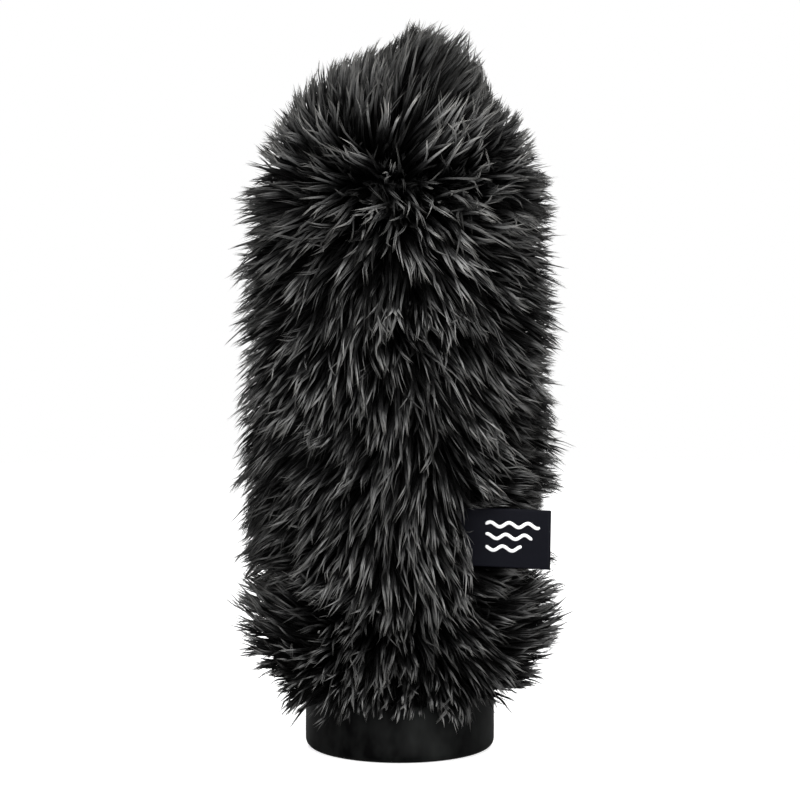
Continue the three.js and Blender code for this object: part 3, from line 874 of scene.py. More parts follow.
def lock_lightness(rng, root, angle, rise, tuft_light):
    patch = 0.5 + 0.5 * vnoise(root, 11.0, 9)
    light = 0.12 * patch + 0.44 * tuft_light + 0.44 * rng.random(len(root))
    light = np.clip((light - 0.14) / 0.72, 0, 1)
    # painted shade: the pile's colour is darkened in each of these patches
    for angle0, rise0, wide, tall, dim in SHADE:
        near = np.exp(-(((angle - angle0) / wide) ** 2) - ((rise - rise0) / tall) ** 2)
        light = light * (1 - dim * near)
    # painted shade by rise: a painted shadow below the waist, and darker shoulders and crown where
    # the top light falls strongly
    return light * np.interp(
        rise, [25, 40, 52, 140, 153, 168, 174], [0.95, 0.75, 0.92, 0.97, 0.86, 0.73, 0.85]
    )


def locks(
    seed, first, last, gap_round, gap_up, per_lock, spread, stations=6, tall=1.0, width=0.12,
    light=(0.0, 1.0), wildness=1.30, tuft_size=14.0,
):
    """Strands of all the locks rooted between two rises, as a dict of arrays."""
    rng = np.random.default_rng(seed)
    angle, rise = lock_roots(rng, first, last, gap_round, gap_up)
    count = len(angle)
    root, normal, right, up = backing_at(angle, rise)
    # the parting wanders, so the pile is read a little above or below each root
    read_at = rise + 5.0 * vnoise(root, 13.0, 7) + 2.0 * vnoise(root, 5.0, 8)
    read_at = np.where(rise < 56, rise + 0.35 * (read_at - rise), read_at)
    to_right, to_up, lean, height = flow_at(angle, read_at)
    # round the parting the pile stands up and curls
    parting = bell(rise, 161, 9.0) * np.clip(1.3 - np.abs((angle - 8) / 55.0) ** 2, 0, 1)
    lean = lean * (1 - 0.15 * parting)
    wild = wildness * (1 + 1.3 * parting)
    # local disorder: slow swirls, then each lock on its own
    swirl = 0.36 * vnoise(root, 15.0, 1) + 0.34 * vnoise(root, 5.5, 3)
    to_right = to_right + wild * (swirl + rng.normal(0, 0.20, count))
    swirl = 0.26 * vnoise(root, 15.0, 2) + 0.28 * vnoise(root, 5.5, 4)
    to_up = to_up + wild * (swirl + rng.normal(0, 0.20, count))
    lean = lean * (1 + 0.16 * vnoise(root, 9.0, 5) + rng.normal(0, 0.12, count))
    forward = unit(to_right[:, None] * right + to_up[:, None] * up)
    strength = np.clip(np.hypot(to_right, to_up), 0.35, 1.1)
    peak = ease(rise, 172, 12) * bell(root[:, 0], 8, 12.0)
    height = tip_height(rng, height * tall, root, angle, rise, peak)
    # the crown is drawn up into a tuft that leans to the right
    lift_right = 0.30 + 0.014 * root[:, 0] + 0.40 * peak
    lift = np.stack([lift_right, np.zeros(count), np.ones(count)], 1)
    forward = forward + ease(rise, 168, 12)[:, None] * 0.8 * lift
    forward = unit(forward - normal * np.sum(forward * normal, 1, keepdims=True))
    along = height * np.tan(np.radians(np.clip(lean, 4, 74))) * strength
    offset = normal * height[:, None] + forward * along[:, None]
    offset, tuft_light = gather_tufts(rng, root, offset, tuft_size)
    offset = fit_crown(rng, root, rise, offset)
    length = np.linalg.norm(offset, axis=1)
    tilt = (along / np.maximum(height, 1))[:, None]
    start_slope = unit(normal + 0.25 * forward * tilt) * (length * 1.05)[:, None]
    droop = np.array([0, 0, -1.2])
    end = unit(normal * height[:, None] * 0.62 + forward * along[:, None] * 1.35 + droop)
    path = (root, start_slope, root + offset, end * length[:, None])

    lock, curve, strand_root, reach = grow_strands(
        rng, path, normal, right, parting, per_lock, stations, spread
    )
    strands = len(lock)
    taper = np.interp(
        np.linspace(0, 1, stations), [0, 0.2, 0.6, 0.8, 1.0], [0.85, 1.0, 1.0, 0.92, 0.0]
    )
    radius = width * rng.uniform(0.75, 1.25, strands)[:, None] * taper[None]
    lightness = lock_lightness(rng, root, angle, rise, tuft_light)
    lightness = 0.92 * lightness[lock] + 0.08 * rng.random(strands)
    lightness = np.clip(light[0] + (light[1] - light[0]) * lightness, 0.02, 0.98)
    # exponent of the painted depth shade, which moves the pale tips up or down the strand; lower
    # round the shoulders and crown, it lifts the painted shade deep in the parting
    depth_shade = np.interp(
        rise,
        [18, 30, 50, 140, 152, 165, 172, 180],
        [1.05, 1.0, 0.94, 0.92, 0.60, 0.56, 0.60, 0.55],
    )
    return {
        "curve": curve, "radius": radius, "light": lightness, "angle": angle[lock],
        "rise": rise[lock], "root": strand_root, "reach": reach, "depth_shade": depth_shade[lock],
    }


def settle(strands, rng):
    """Combs strands round the label, keeps them off the cup, drops those that still intrude."""
    curve, root, angle = strands["curve"], strands["root"], strands["angle"]
    # beside the label the pile ends short of the label's free edge
    tip, edge = curve[:, -1], HINGE[0] + LABEL_LENGTH * LABEL_COS
    level = (tip[:, 2] > LABEL_Z0 - 1.2) & (tip[:, 2] < LABEL_Z1 + 0.8)
    level &= (np.abs(angle - 90) < 70) & (tip[:, 0] > root[:, 0] + 0.1)
    room = edge - 0.3 - 1.8 * rng.random(len(curve)) - root[:, 0]
    room = room / np.maximum(tip[:, 0] - root[:, 0], 0.1)
    shorten = np.where(level, np.clip(room, 0.2, 1), 1.0)[:, None, None]
    before = root[:, None] + (curve - root[:, None]) * shorten
    curve = comb_round_label(before, root, rng)
    step = unit(np.diff(curve, axis=1))
    straightness = (step[:, 1:] * step[:, :-1]).sum(-1).min(1)
    moved = np.linalg.norm(curve - before, axis=-1).max(1)
    keep = ~in_swing(curve).any(1) & ~((moved > 0.5) & (straightness < 0.80)) & (moved < 6.0)
    z = curve[..., 2]
    near = (angle > -5) & (angle < 115) & (z.max(1) > LABEL_Z0 - 1) & (z.min(1) < LABEL_Z1 + 1)
    near = np.nonzero(near)[0]
    for f in (0.2, 0.4, 0.6, 0.8):
        between = curve[near, :-1] + (curve[near, 1:] - curve[near, :-1]) * f
        keep[near] &= ~in_swing(between).any(1)
    from_axis = np.hypot(curve[..., 0], curve[..., 1])
    push = np.where(z < 28.0, np.maximum(27.75 - from_axis, 0), 0)
    for axis in (0, 1):
        curve[..., axis] += curve[..., axis] / np.maximum(from_axis, 1) * push
    keep &= z.min(1) > 5.0
    strands["curve"] = curve
    return {key: value[keep] for key, value in strands.items()}


def prisms(curve, radius, light, reach, depth_shade, rng):
    """Closed three-sided tapering strands: vertices, triangles and the strand map."""
    count, stations = curve.shape[:2]
    ahead = np.empty_like(curve)
    ahead[:, 1:-1] = curve[:, 2:] - curve[:, :-2]
    ahead[:, 0], ahead[:, -1] = curve[:, 1] - curve[:, 0], curve[:, -1] - curve[:, -2]
    ahead = unit(ahead)
    side = unit(np.cross(ahead, unit(rng.normal(size=(count, 1, 3)))))
    other = np.cross(ahead, side)
    edges = []
    for j in range(3):
        a = 2 * math.pi * j / 3
        out = math.cos(a) * side[:, :-1] + math.sin(a) * other[:, :-1]
        edges.append(curve[:, :-1] + radius[:, :-1, None] * out)
    body = (stations - 1) * 3
    verts = np.concatenate([np.stack(edges, 2).reshape(count, body, 3), curve[:, -1:]], 1)
    top = body - 3
    faces = [(0, 2, 1)] + walls(stations - 1, 3)
    faces += [(top + j, top + (j + 1) % 3, body) for j in range(3)]
    first = (np.arange(count) * (body + 1))[:, None, None]
    faces = (np.array(faces)[None] + first).reshape(-1, 3)
    t = np.linspace(0, 1, stations)
    v = np.concatenate([np.repeat(t[:-1], 3), [1.0]]) * 0.98 + 0.01
    u = np.concatenate([np.tile([-1, 0, 1], stations - 1), [0]]) * 0.008
    u = np.clip(light[:, None] + u[None], 0.005, 0.995)
    # v is bent by the exponent of the painted depth shade
    uv = np.stack([u, (v[None] * reach[:, None]) ** depth_shade[:, None]], 2)
    return verts.reshape(-1, 3), faces, uv.reshape(-1, 2)


# name, rise from, rise to, frame node that its first piece of pile replaces
PANELS = [
    ("skirt", 0, 50, "fur_skirt_panel"),
    ("body_lower", 50, 91, "fur_body_panel"),
    ("body_upper", 91, 132, None),
    ("shoulder", 132, 167, None),
    ("crown", 167, 300, "fur_crown_panel"),
]
MAX_TRIANGLES = 190000  # about the most in one object


def build_pile():
    rng = np.random.default_rng(99)
    pile = [
        locks(11, 18.6, 49.4, 1.85, 1.80, per_lock=13, spread=0.70, tuft_size=4.5),
        locks(12, 50.6, 171.0, 1.90, 1.90, per_lock=14, spread=0.72, tuft_size=4.5),
        # painted shade: the crown's locks top out darker, against the strong top light
        locks(
            13, 171.0, APEX, 1.75, 1.70, per_lock=13, spread=0.68, light=(0.0, 0.58), tuft_size=5.0
        ),
        # loose, wilder strands over the rest
        locks(
            14, 24.0, APEX - 2, 4.2, 3.6, per_lock=5, spread=1.6, width=0.10,
            light=(0.1, 0.72), wildness=1.9, tuft_size=3.0,
        ),
    ]
    underpile = [
        locks(
            21, 19.0, APEX, 2.2, 2.0, per_lock=5, spread=1.4, stations=4, tall=0.62, width=0.26,
            light=(0.0, 0.10), wildness=1.2,
        )
    ]
    for layer, sets in (("pile", pile), ("underpile", underpile)):
        strands = {key: np.concatenate([part[key] for part in sets]) for key in sets[0]}
        strands = settle(strands, rng)
        per_strand = 4 + 6 * (strands["curve"].shape[1] - 2)
        angle, rise = strands["angle"], strands["rise"]
        for panel, low, high, _ in PANELS:
            index = np.nonzero((rise > low) & (rise <= high))[0]
            index = index[np.argsort(angle[index], kind="stable")]
            parts = max(1, int(math.ceil(len(index) * per_strand / MAX_TRIANGLES)))
            for i, chunk in enumerate(np.array_split(index, parts)):
                shape = [strands[k][chunk] for k in ("curve", "radius", "light", "reach", "depth_shade")]
                verts, faces, uv = prisms(*shape, rng)
                name = f"fur_{layer}_{panel}_{i + 1}"
                ob = mesh_object(name, verts, faces, FUR, "fur_cover", uv)
    for panel, _, _, node in PANELS:
        if node:
            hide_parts(node)


build_pile()

# ------------------------------------------------------------------ knitted backing under the pile


def backing_piece(name, profile):
    turned(name, profile, BACKING, "fur_cover", segments=96)


backing_piece(
    "backing_skirt",
    fine([
        (27.25, 18.6), (27.6, 18.9), (27.6, 27.2), (BACK_OUT, 29.2), (BACK_OUT, WAIST_Z - 0.3),
        (BACK_IN, WAIST_Z - 0.3), (BACK_IN, 29.0), (27.25, 27.4),
    ], 4),
)
backing_piece(
    "backing_body",
    fine(
        [(BACK_IN, WAIST_Z + 0.3), (BACK_OUT, WAIST_Z + 0.3), (BACK_OUT, DOME_Z)]
        + dome_arc(BACK_OUT, 0, 17.0, 3)[1:]
        + dome_arc(BACK_IN, 17.0, 0, 3),
        5,
    ),
)
backing_piece(
    "backing_crown", dome_arc(BACK_OUT, 18.5, 90, 12) + dome_arc(BACK_IN, 90, 18.5, 12)
)

# ------------------------------------------------------------------ core: cup, grip, collar, foam


def cup_profile():
    foot = 2.4  # radius of the rounded foot
    return (
        [(13.7, 0.0)]
        + [
            (CUP_R - foot + foot * math.cos(t), foot + foot * math.sin(t))
            for t in np.radians(np.linspace(-90, 0, 9))
        ]
        + [
            (CUP_R, 15.7), (CUP_R - 0.25, 16.25), (CUP_R - 0.8, 16.6), (24.4, 17.0), (24.1, 17.4),
            (24.1, 33.0), (24.5, 33.9), (24.6, 34.6), (24.5, 35.1), (24.0, 35.9), (23.7, 36.0),
            (21.6, 36.0), (21.6, 3.0), (13.7, 3.0),
        ]
    )


def cup_warp(v):
    """Moulded rubber is never quite true: it dips and swells by about a tenth."""
    _, r, z = cylindrical(v)
    uneven = 0.10 * vnoise(v, 14.0, 31) + 0.05 * vnoise(v, 5.0, 32)
    return swell(v, uneven * (ease(r, 22, 4) * ease(z, 0, 2)), np.maximum(r, 1))


turned(
    "cup_rubber_body", fine(cup_profile(), 0.8), RUBBER, "core",
    segments=192, warp=cup_warp, replaces="base_cup",
)


def grip_profile():
    """Flanged sleeve with shallow grooves outside and three lips inside."""
    profile = [
        (11.9, 0.8), (12.7, 0.8), (13.2, 1.3), (13.2, 3.3), (17.6, 3.3), (17.6, 5.0), (13.2, 5.0),
    ]
    for z in np.arange(7.0, 43.0, 2.0):
        profile += [(13.2, z), (13.05, z + 0.3), (13.05, z + 0.7), (13.2, z + 1.0)]
    profile += [(13.2, 44.0), (12.0, 44.0)]
    for z in (39.0, 27.0, 15.0):
        profile += [(12.0, z + 1.4), (11.25, z + 0.6), (11.02, z + 0.25)]
        profile += [(11.02, z - 0.25), (11.25, z - 0.6), (12.0, z - 1.4)]
    return profile + [(12.0, 3.6)]


turned(
    "grip_sleeve_moulding", fine(grip_profile(), 1.5), GRIP, "core",
    replaces="grip_sleeve",
)

COLLAR_PROFILE = [  # radius, height
    (13.6, 5.4), (21.2, 5.4), (21.2, 32.0), (19.7, 32.0), (19.7, 27.0), (19.1, 26.2),
    (19.7, 25.0), (19.7, 19.0), (19.1, 18.2), (19.7, 17.0), (19.7, 7.4), (13.6, 7.4),
]
turned(
    "collar_moulding", fine(COLLAR_PROFILE, 2.0), NYLON, "core",
    replaces="core_collar",
)


def foam_warp(v):
    """Cut open-cell foam: a ragged skin of burst cells."""
    _, r, _ = cylindrical(v)
    ragged = 0.10 * vnoise(v, 1.3, 41) + 0.08 * vnoise(v, 3.0, 42)
    return swell(v, np.where(r > 22.5, ragged - 0.10, -0.3 * ragged), np.maximum(r, 2))


def foam_piece(name, profile, node):
    turned(name, profile, FOAM, "core", segments=132, warp=foam_warp, replaces=node)


FOAM_STEP = 1.6
TUBE_PROFILE = [  # radius, height
    (13.6, 7.8), (18.7, 7.8), (18.7, 36.4), (22.0, 36.4), (FOAM_R, 37.6), (FOAM_R, 160.0),
    (11.3, 160.0), (11.3, 44.8), (13.6, 44.8),
]
PLUG_PROFILE = [  # radius, height, up to the rim of the dome
    (0, 154.0), (10.2, 154.0), (11.0, 154.8), (11.0, 160.3), (FOAM_R, 160.3), (FOAM_R, DOME_Z),
]
foam_piece("foam_tube", fine(TUBE_PROFILE, FOAM_STEP), "foam_core")
foam_piece(
    "foam_nose_plug",
    run(PLUG_PROFILE, FOAM_STEP)[:-1] + dome_arc(FOAM_R, 0, 90, 18),
    "foam_nose",
)

# ------------------------------------------------------------------ core: sock and its band


def sock_warp(v):
    """Drag lines up the tube, gathers into the crown and a ruffle at the band."""
    angle, r, z = cylindrical(v)
    up = ease(z, 160, 18)
    up = up * up * (3 - 2 * up)
    fold = 0.5 + 0.5 * np.sin(20 * angle + 1.6 * np.sin(3 * angle) + 0.03 * z)
    out = 0.62 * up * fold**1.6 * ease(r, 0.6, 5)
    drag = 7 * angle + 5.0 * soft(v, 34.0, 51, 0.45) + 0.6 * np.sin(z * 0.05)
    drag = 0.5 + 0.5 * np.sin(drag)
    patchy = 0.35 + 0.65 * np.clip(soft(v, 30.0, 53) + 0.4, 0, 1)
    out += 0.34 * drag**2 * patchy * (1 - up)
    slack = np.sin(z * 0.55 + 2.5 * np.sin(angle + 0.6) + 5.0 * soft(v, 26.0, 55))
    patchy = np.clip(soft(v, 24.0, 57) + 0.1, 0, 1)
    out += 0.16 * np.clip(slack, 0, 1) ** 2 * patchy * (1 - up)
    ruffle = bell(z, 49, 4.0) + 1.1 * bell(z, 38, 2.0)
    out += ruffle * (0.26 + 0.24 * np.sin(38 * angle + 2 * np.sin(5 * angle)))
    pinch = bell(z, 42.2, 2.6)
    out = np.minimum(out * (1 - pinch) - 0.10 * pinch, 0.95)
    # ribs of the knit on the outer face, closing up where the sock is gathered
    outer = r > 23.7 - 20 * (z > DOME_Z)
    out += 0.11 * np.cos(60 * angle) * (1 - pinch) * ease(r, 6, 10) * outer
    distance = from_dome(r, z)
    warped = swell(v, out, distance)
    warped[:, 2] += np.clip(z - DOME_Z, 0, None) * (out / distance)
    return warped


SOCK_HEM = [(SOCK_IN, 38.0), (23.62, 37.9), (23.8, 37.9), (SOCK_OUT, 38.0), (SOCK_OUT, DOME_Z)]
turned(
    "sock_knit_tube",
    run(SOCK_HEM, 0.9)[:-1]
    + dome_arc(SOCK_OUT, 0, 90, 34)
    + dome_arc(SOCK_IN, 90, 0, 34)
    + run([(SOCK_IN, DOME_Z), (SOCK_IN, 38.0)], 3.0)[1:-1],
    SOCK, "core", segments=360, warp=sock_warp, replaces="core_sock",
)


def band_warp(v):
    angle, _, _ = cylindrical(v)
    warped = swell(v, 0.05 * np.sin(34 * angle), 24)
    warped[:, 2] += 0.10 * np.sin(4 * angle + 1) + 0.05 * np.sin(11 * angle)
    return warped


def band_profile(inner, low, high, start, pitch, ribs):
    """Seven round cords up a band; ribs are (radius, height) within one cord."""
    cords = [(r, start + i * pitch + z) for i in range(7) for r, z in ribs]
    return [(inner, low)] + cords + [(inner, high)]


turned(
    "sock_band_elastic",
    band_profile(
        24.1, 39.2, 45.2, start=39.2, pitch=6.0 / 7,
        ribs=((24.52, 0.06), (24.70, 0.30), (24.70, 0.56), (24.52, 0.80)),
    ),
    ELASTIC, "core", segments=240, warp=band_warp, replaces="sock_band",
)

# ------------------------------------------------------------------ cover: lining, tapes, hem


def lining_warp(v):
    """Light knit lining that hangs a little loose inside the backing."""
    angle, r, z = cylindrical(v)
    free = ease(z, 29, 6)
    out = -0.16 * free * (0.5 + 0.5 * np.sin(9 * angle + 2.0 * vnoise(v, 30.0, 61)))
    crease = np.sin(3 * angle + z * 0.09 + 1.5 * vnoise(v, 25.0, 62))
    out = out - 0.12 * free * np.abs(crease) ** 5
    out += -0.10 * bell(z, WAIST_Z, 2.5) * (0.5 + 0.5 * np.sin(40 * angle))
    return swell(v, out, from_dome(r, z))


turned(
    "lining_knit_tube",
    [(LINING_IN, z) for z in np.arange(DOME_Z, 28.0, -1.6)]
    + [(LINING_IN, 27.5), (LINING_OUT, 27.5)]
    + [(LINING_OUT, z) for z in np.arange(30.0, DOME_Z, 2.5)]
    + dome_arc(LINING_OUT, 0, 90, 24)
    + dome_arc(LINING_IN, 90, 3, 24),
    LINING, "fur_cover", segments=216, warp=lining_warp, replaces="cover_lining",
)


def tape_warp(v):
    angle, _, _ = cylindrical(v)
    v = v.copy()
    v[:, 2] += 0.10 * np.sin(7 * angle) + 0.06 * np.sin(19 * angle + 1)
    return v


tape_z0, tape_z1 = WAIST_Z - 4.0, WAIST_Z + 4.0
turned(
    "waist_tape_twill",
    fine([(TAPE_IN, tape_z0), (TAPE_OUT, tape_z0), (TAPE_OUT, tape_z1), (TAPE_IN, tape_z1)], 0.8),
    TAPE, "fur_cover", segments=180, warp=tape_warp, replaces="waist_seam_tape",
)

# the crown seam lies 7 mm above the rim of the dome
crown_seam = math.degrees(math.asin(7.0 / (BACK_IN - DOME_DROP)))
turned(
    "crown_tape_twill",
    dome_arc(TAPE_OUT, crown_seam - 8, crown_seam + 10, 9)
    + dome_arc(TAPE_IN, crown_seam + 10, crown_seam - 8, 9),
    TAPE, "fur_cover", segments=180, replaces="crown_seam_tape",
)


def tape_strip(name, z0, z1, node):
    """A slightly wavy ribbon of tape up the side seam."""
    rows = max(4, int((z1 - z0) / 1.2)) + 1
    angles = np.radians(np.linspace(-8, 8, 13)) + math.radians(SEAM_ANGLE)
    loop = [(TAPE_IN, a) for a in angles] + [(TAPE_OUT, a) for a in angles[::-1]]
    verts = []
    for z in np.linspace(z0, z1, rows):
        sway = 0.12 * math.sin(z * 0.35) / 26
        verts += [(r * math.cos(a + sway), r * math.sin(a + sway), z) for r, a in loop]
    faces = strip_faces(rows, len(loop))
    mesh_object(name, verts, faces, TAPE, "fur_cover", replaces=node)


tape_strip("side_tape_body_twill", 54.6, 164.5, "side_seam_tape_body")
tape_strip("side_tape_skirt_twill", 28.6, 45.4, "side_seam_tape_skirt")


def hem_warp(v):
    """The binding puckers where the elastic draws it in."""
    angle, r, z = cylindrical(v)
    pucker = 0.07 * np.sin(46 * angle + 1.5 * np.sin(7 * angle)) + 0.05 * np.sin(23 * angle + 2)
    pucker = np.abs(pucker)
    warped = swell(v, np.where(r < 26.2, pucker * 0.8, -pucker), r)
    warped[:, 2] += np.where(z < 19, 0.10 * np.sin(23 * angle) + 0.10, 0)
    return warped


HEM_PROFILE = [  # radius, height: a channel open upwards
    (25.2, 18.5), (25.3, 18.15), (25.6, 17.9), (26.6, 17.9), (26.9, 18.15), (27.0, 18.5),
    (27.0, 27.0), (26.65, 27.0), (26.65, 18.4), (25.6, 18.4), (25.6, 27.0), (25.2, 27.0),
]
turned(
    "hem_binding_twill", fine(HEM_PROFILE, 0.9), TAPE, "fur_cover",
    segments=240, warp=hem_warp, replaces="hem_binding",
)
turned(
    "hem_elastic_web",
    band_profile(
        25.9, 19.0, 25.8, start=19.0, pitch=0.971,
        ribs=((26.24, 0.05), (26.35, 0.30), (26.35, 0.62), (26.24, 0.87)),
    ),
    ELASTIC, "fur_cover", segments=180, replaces="hem_elastic",
)

# ------------------------------------------------------------------ stitches


def sock_seam():
    """Flat overlock seam up the sock: close crossing stitches that follow its surface."""
    paths, seam, radius = [], math.radians(-118), 24.02
    for i, z in enumerate(np.arange(39.0, 172.0, 0.95)):
        if 39.4 < z < 45.6:  # under the band
            continue
        lean = 1 if i % 2 else -1
        path = []
        for t in np.linspace(-1, 1, 6):
            height = z + 0.55 * lean * t
            r = radius
            if height >= DOME_Z:
                share = (height - DOME_Z) / (radius - DOME_DROP)
                r = radius * math.sqrt(max(0.0, 1 - share**2))
            a = seam + 0.95 * t / r
            path.append((r * math.cos(a), r * math.sin(a), height))
        paths.append(sock_warp(np.array(path)))
    threads("sock_seam_stitches", paths, 0.14, "core")


def stitch_row(z, radius=25.10, count=62, share=0.62, dip=0.10):
    """A ring of stitches, each filling a share of its pitch, with ends that dip outwards."""
    paths = []
    for i in range(count):
        middle = 2 * math.pi * i / count
        length = 2 * math.pi / count * share
        path = []
        for t in np.linspace(-1, 1, 6):
            r, a = radius + dip * abs(t) ** 3, middle + length * t / 2
            path.append((r * math.cos(a), r * math.sin(a), z + 0.05 * math.sin(middle * 9)))
        paths.append(path)
    return paths


sock_seam()
threads("hem_stitches", stitch_row(19.8) + stitch_row(25.6), 0.13, "fur_cover")

# ------------------------------------------------------------------ side label

PLY, FOLD_GAP = 0.45, 0.20  # thickness of one ply, half the gap between the plies
TAG_HALF = PLY + FOLD_GAP
EDGE = 0.28  # height over which the top and bottom edges round off


def tag_point(x, y, z):
    """Points on the label: x from the hinge, y from its middle towards the back."""
    share = np.clip(x / LABEL_LENGTH, 0, 1)
    level = (z - 0.5 * (LABEL_Z0 + LABEL_Z1)) / (0.5 * (LABEL_Z1 - LABEL_Z0))
    bow = (
        0.42 * np.sin(math.pi * share) * (1 - 0.25 * level)
        + 0.38 * share**2 * level
        - 0.16 * np.sin(2 * math.pi * share + 0.5) * share
    )
    y = y + bow
    world_x = HINGE[0] + x * LABEL_COS - y * LABEL_SIN
    world_y = HINGE[1] + x * LABEL_SIN + y * LABEL_COS
    return np.stack(np.broadcast_arrays(world_x, world_y, z), -1)


def build_tag():
    """A strip folded at its free edge, with both ends at the hinge."""
    fold_x = LABEL_LENGTH - TAG_HALF
    xs = np.linspace(-0.2, fold_x, 46)
    bend = np.radians(np.linspace(-90, 90, 15))[1:-1]

    def face(half):
        fold = [(fold_x + half * math.cos(t), half * math.sin(t)) for t in bend]
        return np.array([(x, -half) for x in xs] + fold + [(x, half) for x in xs[::-1]])

    outer, inner = face(TAG_HALF), face(FOLD_GAP)
    # the fold keeps one centre, so its middle line is the mean of both faces
    middle = 0.5 * (outer + inner)
    heights = np.concatenate([
        [LABEL_Z0, LABEL_Z0 + 0.10, LABEL_Z0 + EDGE],
        np.linspace(LABEL_Z0 + 0.6, LABEL_Z1 - 0.6, 34),
        [LABEL_Z1 - EDGE, LABEL_Z1 - 0.10, LABEL_Z1],
    ])
    verts = []
    for z in heights:
        from_edge = min(z - LABEL_Z0, LABEL_Z1 - z)
        k = 0.45 + 0.55 * min(1.0, math.sqrt(max(from_edge, 0) / EDGE))
        loop = [middle + (outer - middle) * k, (middle + (inner - middle) * k)[::-1]]
        loop = np.concatenate(loop)
        verts.append(tag_point(loop[:, 0], loop[:, 1], z))
    mesh_object(
        "label_tag_weave", np.concatenate(verts), strip_faces(len(heights), 2 * len(outer)),
        TAG, "label", replaces="side_label",
    )


def raised_stroke(path, half=0.52, lift=0.05, depth=0.10):
    """Vertices of a raised woven stroke on the label's front face, along (x, z) points."""
    ahead = unit(np.gradient(path, axis=0))
    across = np.stack([-ahead[:, 1], ahead[:, 0]], 1)
    steps = np.arange(len(path))
    ends = np.clip(np.minimum(steps, steps[::-1]) / 2.0, 0, 1)
    width = half * np.sqrt(0.25 + 0.75 * ends)
    section = ((-1, depth), (-0.85, -lift), (0, -lift * 1.3), (0.85, -lift), (1, depth))
    rows = []
    for side, y in section:
        at = path + across * (width * side)[:, None]
        rows.append(tag_point(at[:, 0], -TAG_HALF + y, at[:, 1]))
    return np.stack(rows, 1).reshape(-1, 3)


def build_mark():
    """Three plain waves, one above the other."""
    verts, faces = [], []
    # drop below the label's top, end of the wave, phase
    for i, (drop, end, phase) in enumerate(((4.4, 24.6, 0.0), (7.7, 22.4, 1.1), (11.0, 19.4, 2.2))):
        start, points = 9.0, 60
        x = np.linspace(start, end, points)
        z = LABEL_Z1 - drop + 0.62 * np.sin((x - start) * 2 * math.pi / 5.4 + phase)
        verts.append(raised_stroke(np.stack([x, z], 1)))
        faces += flipped(tube_faces(points, 5, base=i * points * 5))
    mesh_object("label_mark_waves", np.concatenate(verts), faces, TAG_MARK, "label")


def build_tack(node):
    """Bar tack: close rows of thread over three long upright strands."""
    low, high = box_mm(node)
    z0, z1 = low[2], high[2]
    y = -TAG_HALF - 0.20
    rows = 13
    x, t = np.linspace(0.25, 2.15, 6), np.linspace(-1, 1, 6)
    paths = []
    for i in range(rows):
        z = z0 + 0.15 + (z1 - z0 - 0.3) * i / (rows - 1)
        paths.append(tag_point(x, y + 0.16 * np.abs(t) ** 4, z + 0.07 * t))
    for x in (0.7, 1.2, 1.7):
        paths.append(tag_point(x, y + 0.05, np.linspace(z0 + 0.05, z1 - 0.05, 7)))
    threads(node + "_thread", paths, 0.155, "label", replaces=node)


build_tag()
build_mark()
build_tack("label_tack_lower")
build_tack("label_tack_upper")

# ------------------------------------------------------------------ camera (metres from here on)

scene.view_settings.view_transform = "Standard"
scene.view_settings.look = "None"


def place(name, data, location, direction):
    """Adds a camera or light looking along a direction."""
    ob = bpy.data.objects.new(name, data)
    scene.collection.objects.link(ob)
    ob.location = location
    ob.rotation_mode = "QUATERNION"
    ob.rotation_quaternion = direction.to_track_quat("-Z", "Y")
    return ob


CAMERA_RISE = math.radians(5.5)
VIEW_WIDTH = 0.22816  # width seen at the aim point
PULL_OFF = 0.19  # travel of the cover over which the camera moves
STEP_BACK = 0.76


def build_camera():
    data = bpy.data.cameras.new("camera")
    data.lens, data.sensor_width = 135.0, 36.0
    data.clip_start, data.clip_end = 0.02, 50
    aim = Vector((0.0, 0.0, 0.09975))
    back = Vector((0, -math.cos(CAMERA_RISE), math.sin(CAMERA_RISE)))
    distance = VIEW_WIDTH * 135.0 / 36.0
    camera = place("camera", data, aim + back * distance, -back)
    scene.camera = camera
    # it steps back and up as the cover is pulled off, so that both halves stay in the frame
    follow = camera.constraints.new("TRANSFORM")
    follow.target = frame["bodies"]["fur_cover"]
    follow.use_motion_extrapolate = False
    follow.map_from = follow.map_to = "LOCATION"
    follow.from_min_z, follow.from_max_z = 0.0, PULL_OFF
    follow.map_to_x_from = follow.map_to_y_from = follow.map_to_z_from = "Z"
    follow.to_min_x = follow.to_max_x = 0.0
    follow.to_min_y, follow.to_max_y = 0.0, -STEP_BACK * math.cos(CAMERA_RISE)
    follow.to_min_z, follow.to_max_z = 0.0, STEP_BACK * math.sin(CAMERA_RISE) + 0.100
    follow.mix_mode = "ADD"


build_camera()

# ------------------------------------------------------------------ lights and world

# name, place, aim, width and height, power in watts
LIGHTS = [
    ("key_top", (-0.04, -0.46, 0.76), (0, 0, 0.12), (0.55, 0.40), 10.0),
    ("side_left", (-0.44, -0.72, 0.34), (0, 0, 0.10), (0.34, 0.55), 2.0),
    ("side_right", (0.46, -0.70, 0.36), (0, 0, 0.10), (0.30, 0.55), 2.0),
    ("front_fill", (0.04, -0.96, 0.40), (0, 0, 0.12), (0.30, 0.40), 8.0),
    ("back_fill", (0.10, 0.80, 0.44), (0, 0, 0.10), (0.50, 0.55), 10.0),
]
for name, location, target, size, power in LIGHTS:
    light = bpy.data.lights.new(name, "AREA")
    light.shape = "RECTANGLE"
    light.size, light.size_y = size
    light.energy = power
    place(name, light, location, Vector(target) - Vector(location))


def build_world():
    """White to the camera, dim white to everything else."""
    world = bpy.data.worlds.new("studio")
    scene.world = world
    world.use_nodes = True
    w = NodeTree(world.node_tree)
    out = w.add("ShaderNodeOutputWorld").inputs[0]
    dim = w.add("ShaderNodeBackground", Color=(1, 1, 1), Strength=0.15).outputs[0]
    bright = w.add("ShaderNodeBackground", Color=(1, 1, 1), Strength=1.0).outputs[0]
    camera_ray = w.add("ShaderNodeLightPath").outputs["Is Camera Ray"]
    w.feed(out, w.mix_shader(camera_ray, dim, bright))


build_world()

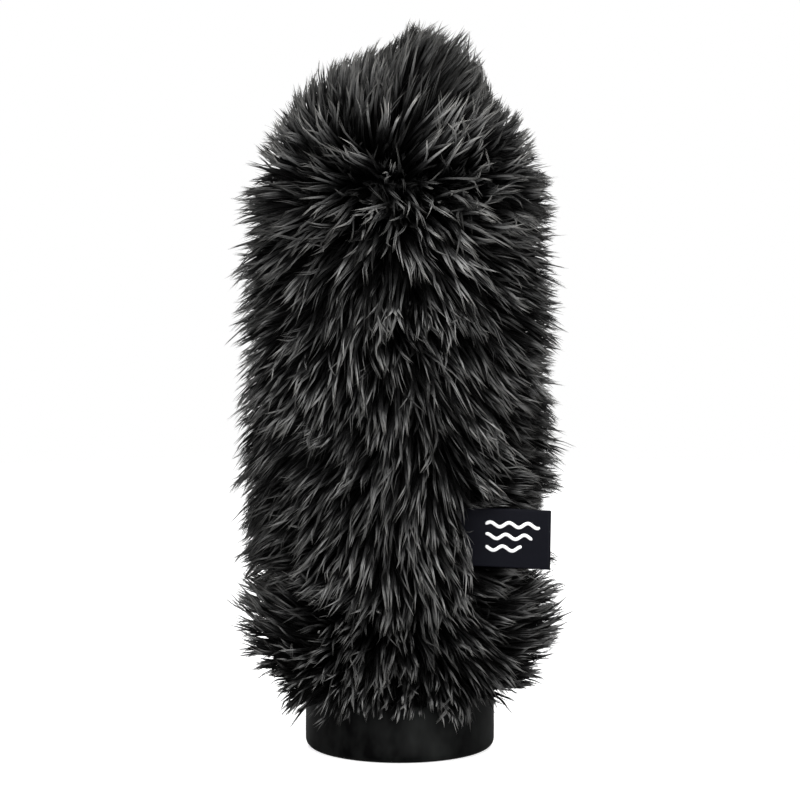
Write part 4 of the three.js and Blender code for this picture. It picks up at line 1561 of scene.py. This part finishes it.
# ------------------------------------------------------------------ floor


def floor_material():
    """Pale paper that brightens to the backdrop away from the object; clear from below."""
    m = Material("floor_paper")
    x, y, _ = m.split(m.coords())
    square = m.math("ADD", m.math("MULTIPLY", x, x), m.math("MULTIPLY", y, y))
    from_middle = m.math("SUBTRACT", m.math("SQRT", square), 0.10)
    far = m.math("MULTIPLY", from_middle, 1.6, clamp=True)
    m.surface((0.60, 0.60, 0.60), roughness=0.9, specular=0.2)
    dull = m.add("ShaderNodeBsdfDiffuse", Color=(0.42, 0.42, 0.42)).outputs[0]
    glow = m.add("ShaderNodeEmission", Strength=0.72).outputs[0]
    lit = m.add("ShaderNodeAddShader")
    m.feed(lit.inputs[0], m.shader.outputs[0])
    m.feed(lit.inputs[1], glow)
    backdrop = m.add("ShaderNodeEmission", Strength=1.0).outputs[0]
    paper = m.mix_shader(far, lit.outputs[0], backdrop)
    camera_ray = m.add("ShaderNodeLightPath").outputs["Is Camera Ray"]
    seen = m.mix_shader(camera_ray, dull, paper)
    underside = m.add("ShaderNodeNewGeometry").outputs["Backfacing"]
    clear = m.add("ShaderNodeBsdfTransparent").outputs[0]
    m.feed(m.out, m.mix_shader(underside, seen, clear))
    return m.data


def build_floor():
    """A wide disc of rings just below the object."""
    radii, segments = [0.06, 0.12, 0.25, 0.5, 1.0, 2.0, 4.0, 9.0], 64
    verts = [(0, 0, 0)]
    for r in radii:
        for i in range(segments):
            t = 2 * math.pi * i / segments
            verts.append((r * math.cos(t), r * math.sin(t), 0))
    faces = [(0, 1 + i, 1 + (i + 1) % segments) for i in range(segments)]
    for ring in range(len(radii) - 1):
        for i in range(segments):
            a, b = 1 + ring * segments + i, 1 + ring * segments + (i + 1) % segments
            faces.append((a, a + segments, b + segments, b))
    mesh = bpy.data.meshes.new("floor")
    mesh.from_pydata(verts, [], faces)
    floor = bpy.data.objects.new("floor", mesh)
    scene.collection.objects.link(floor)
    floor.location.z = -0.0002
    mesh.materials.append(floor_material())


build_floor()
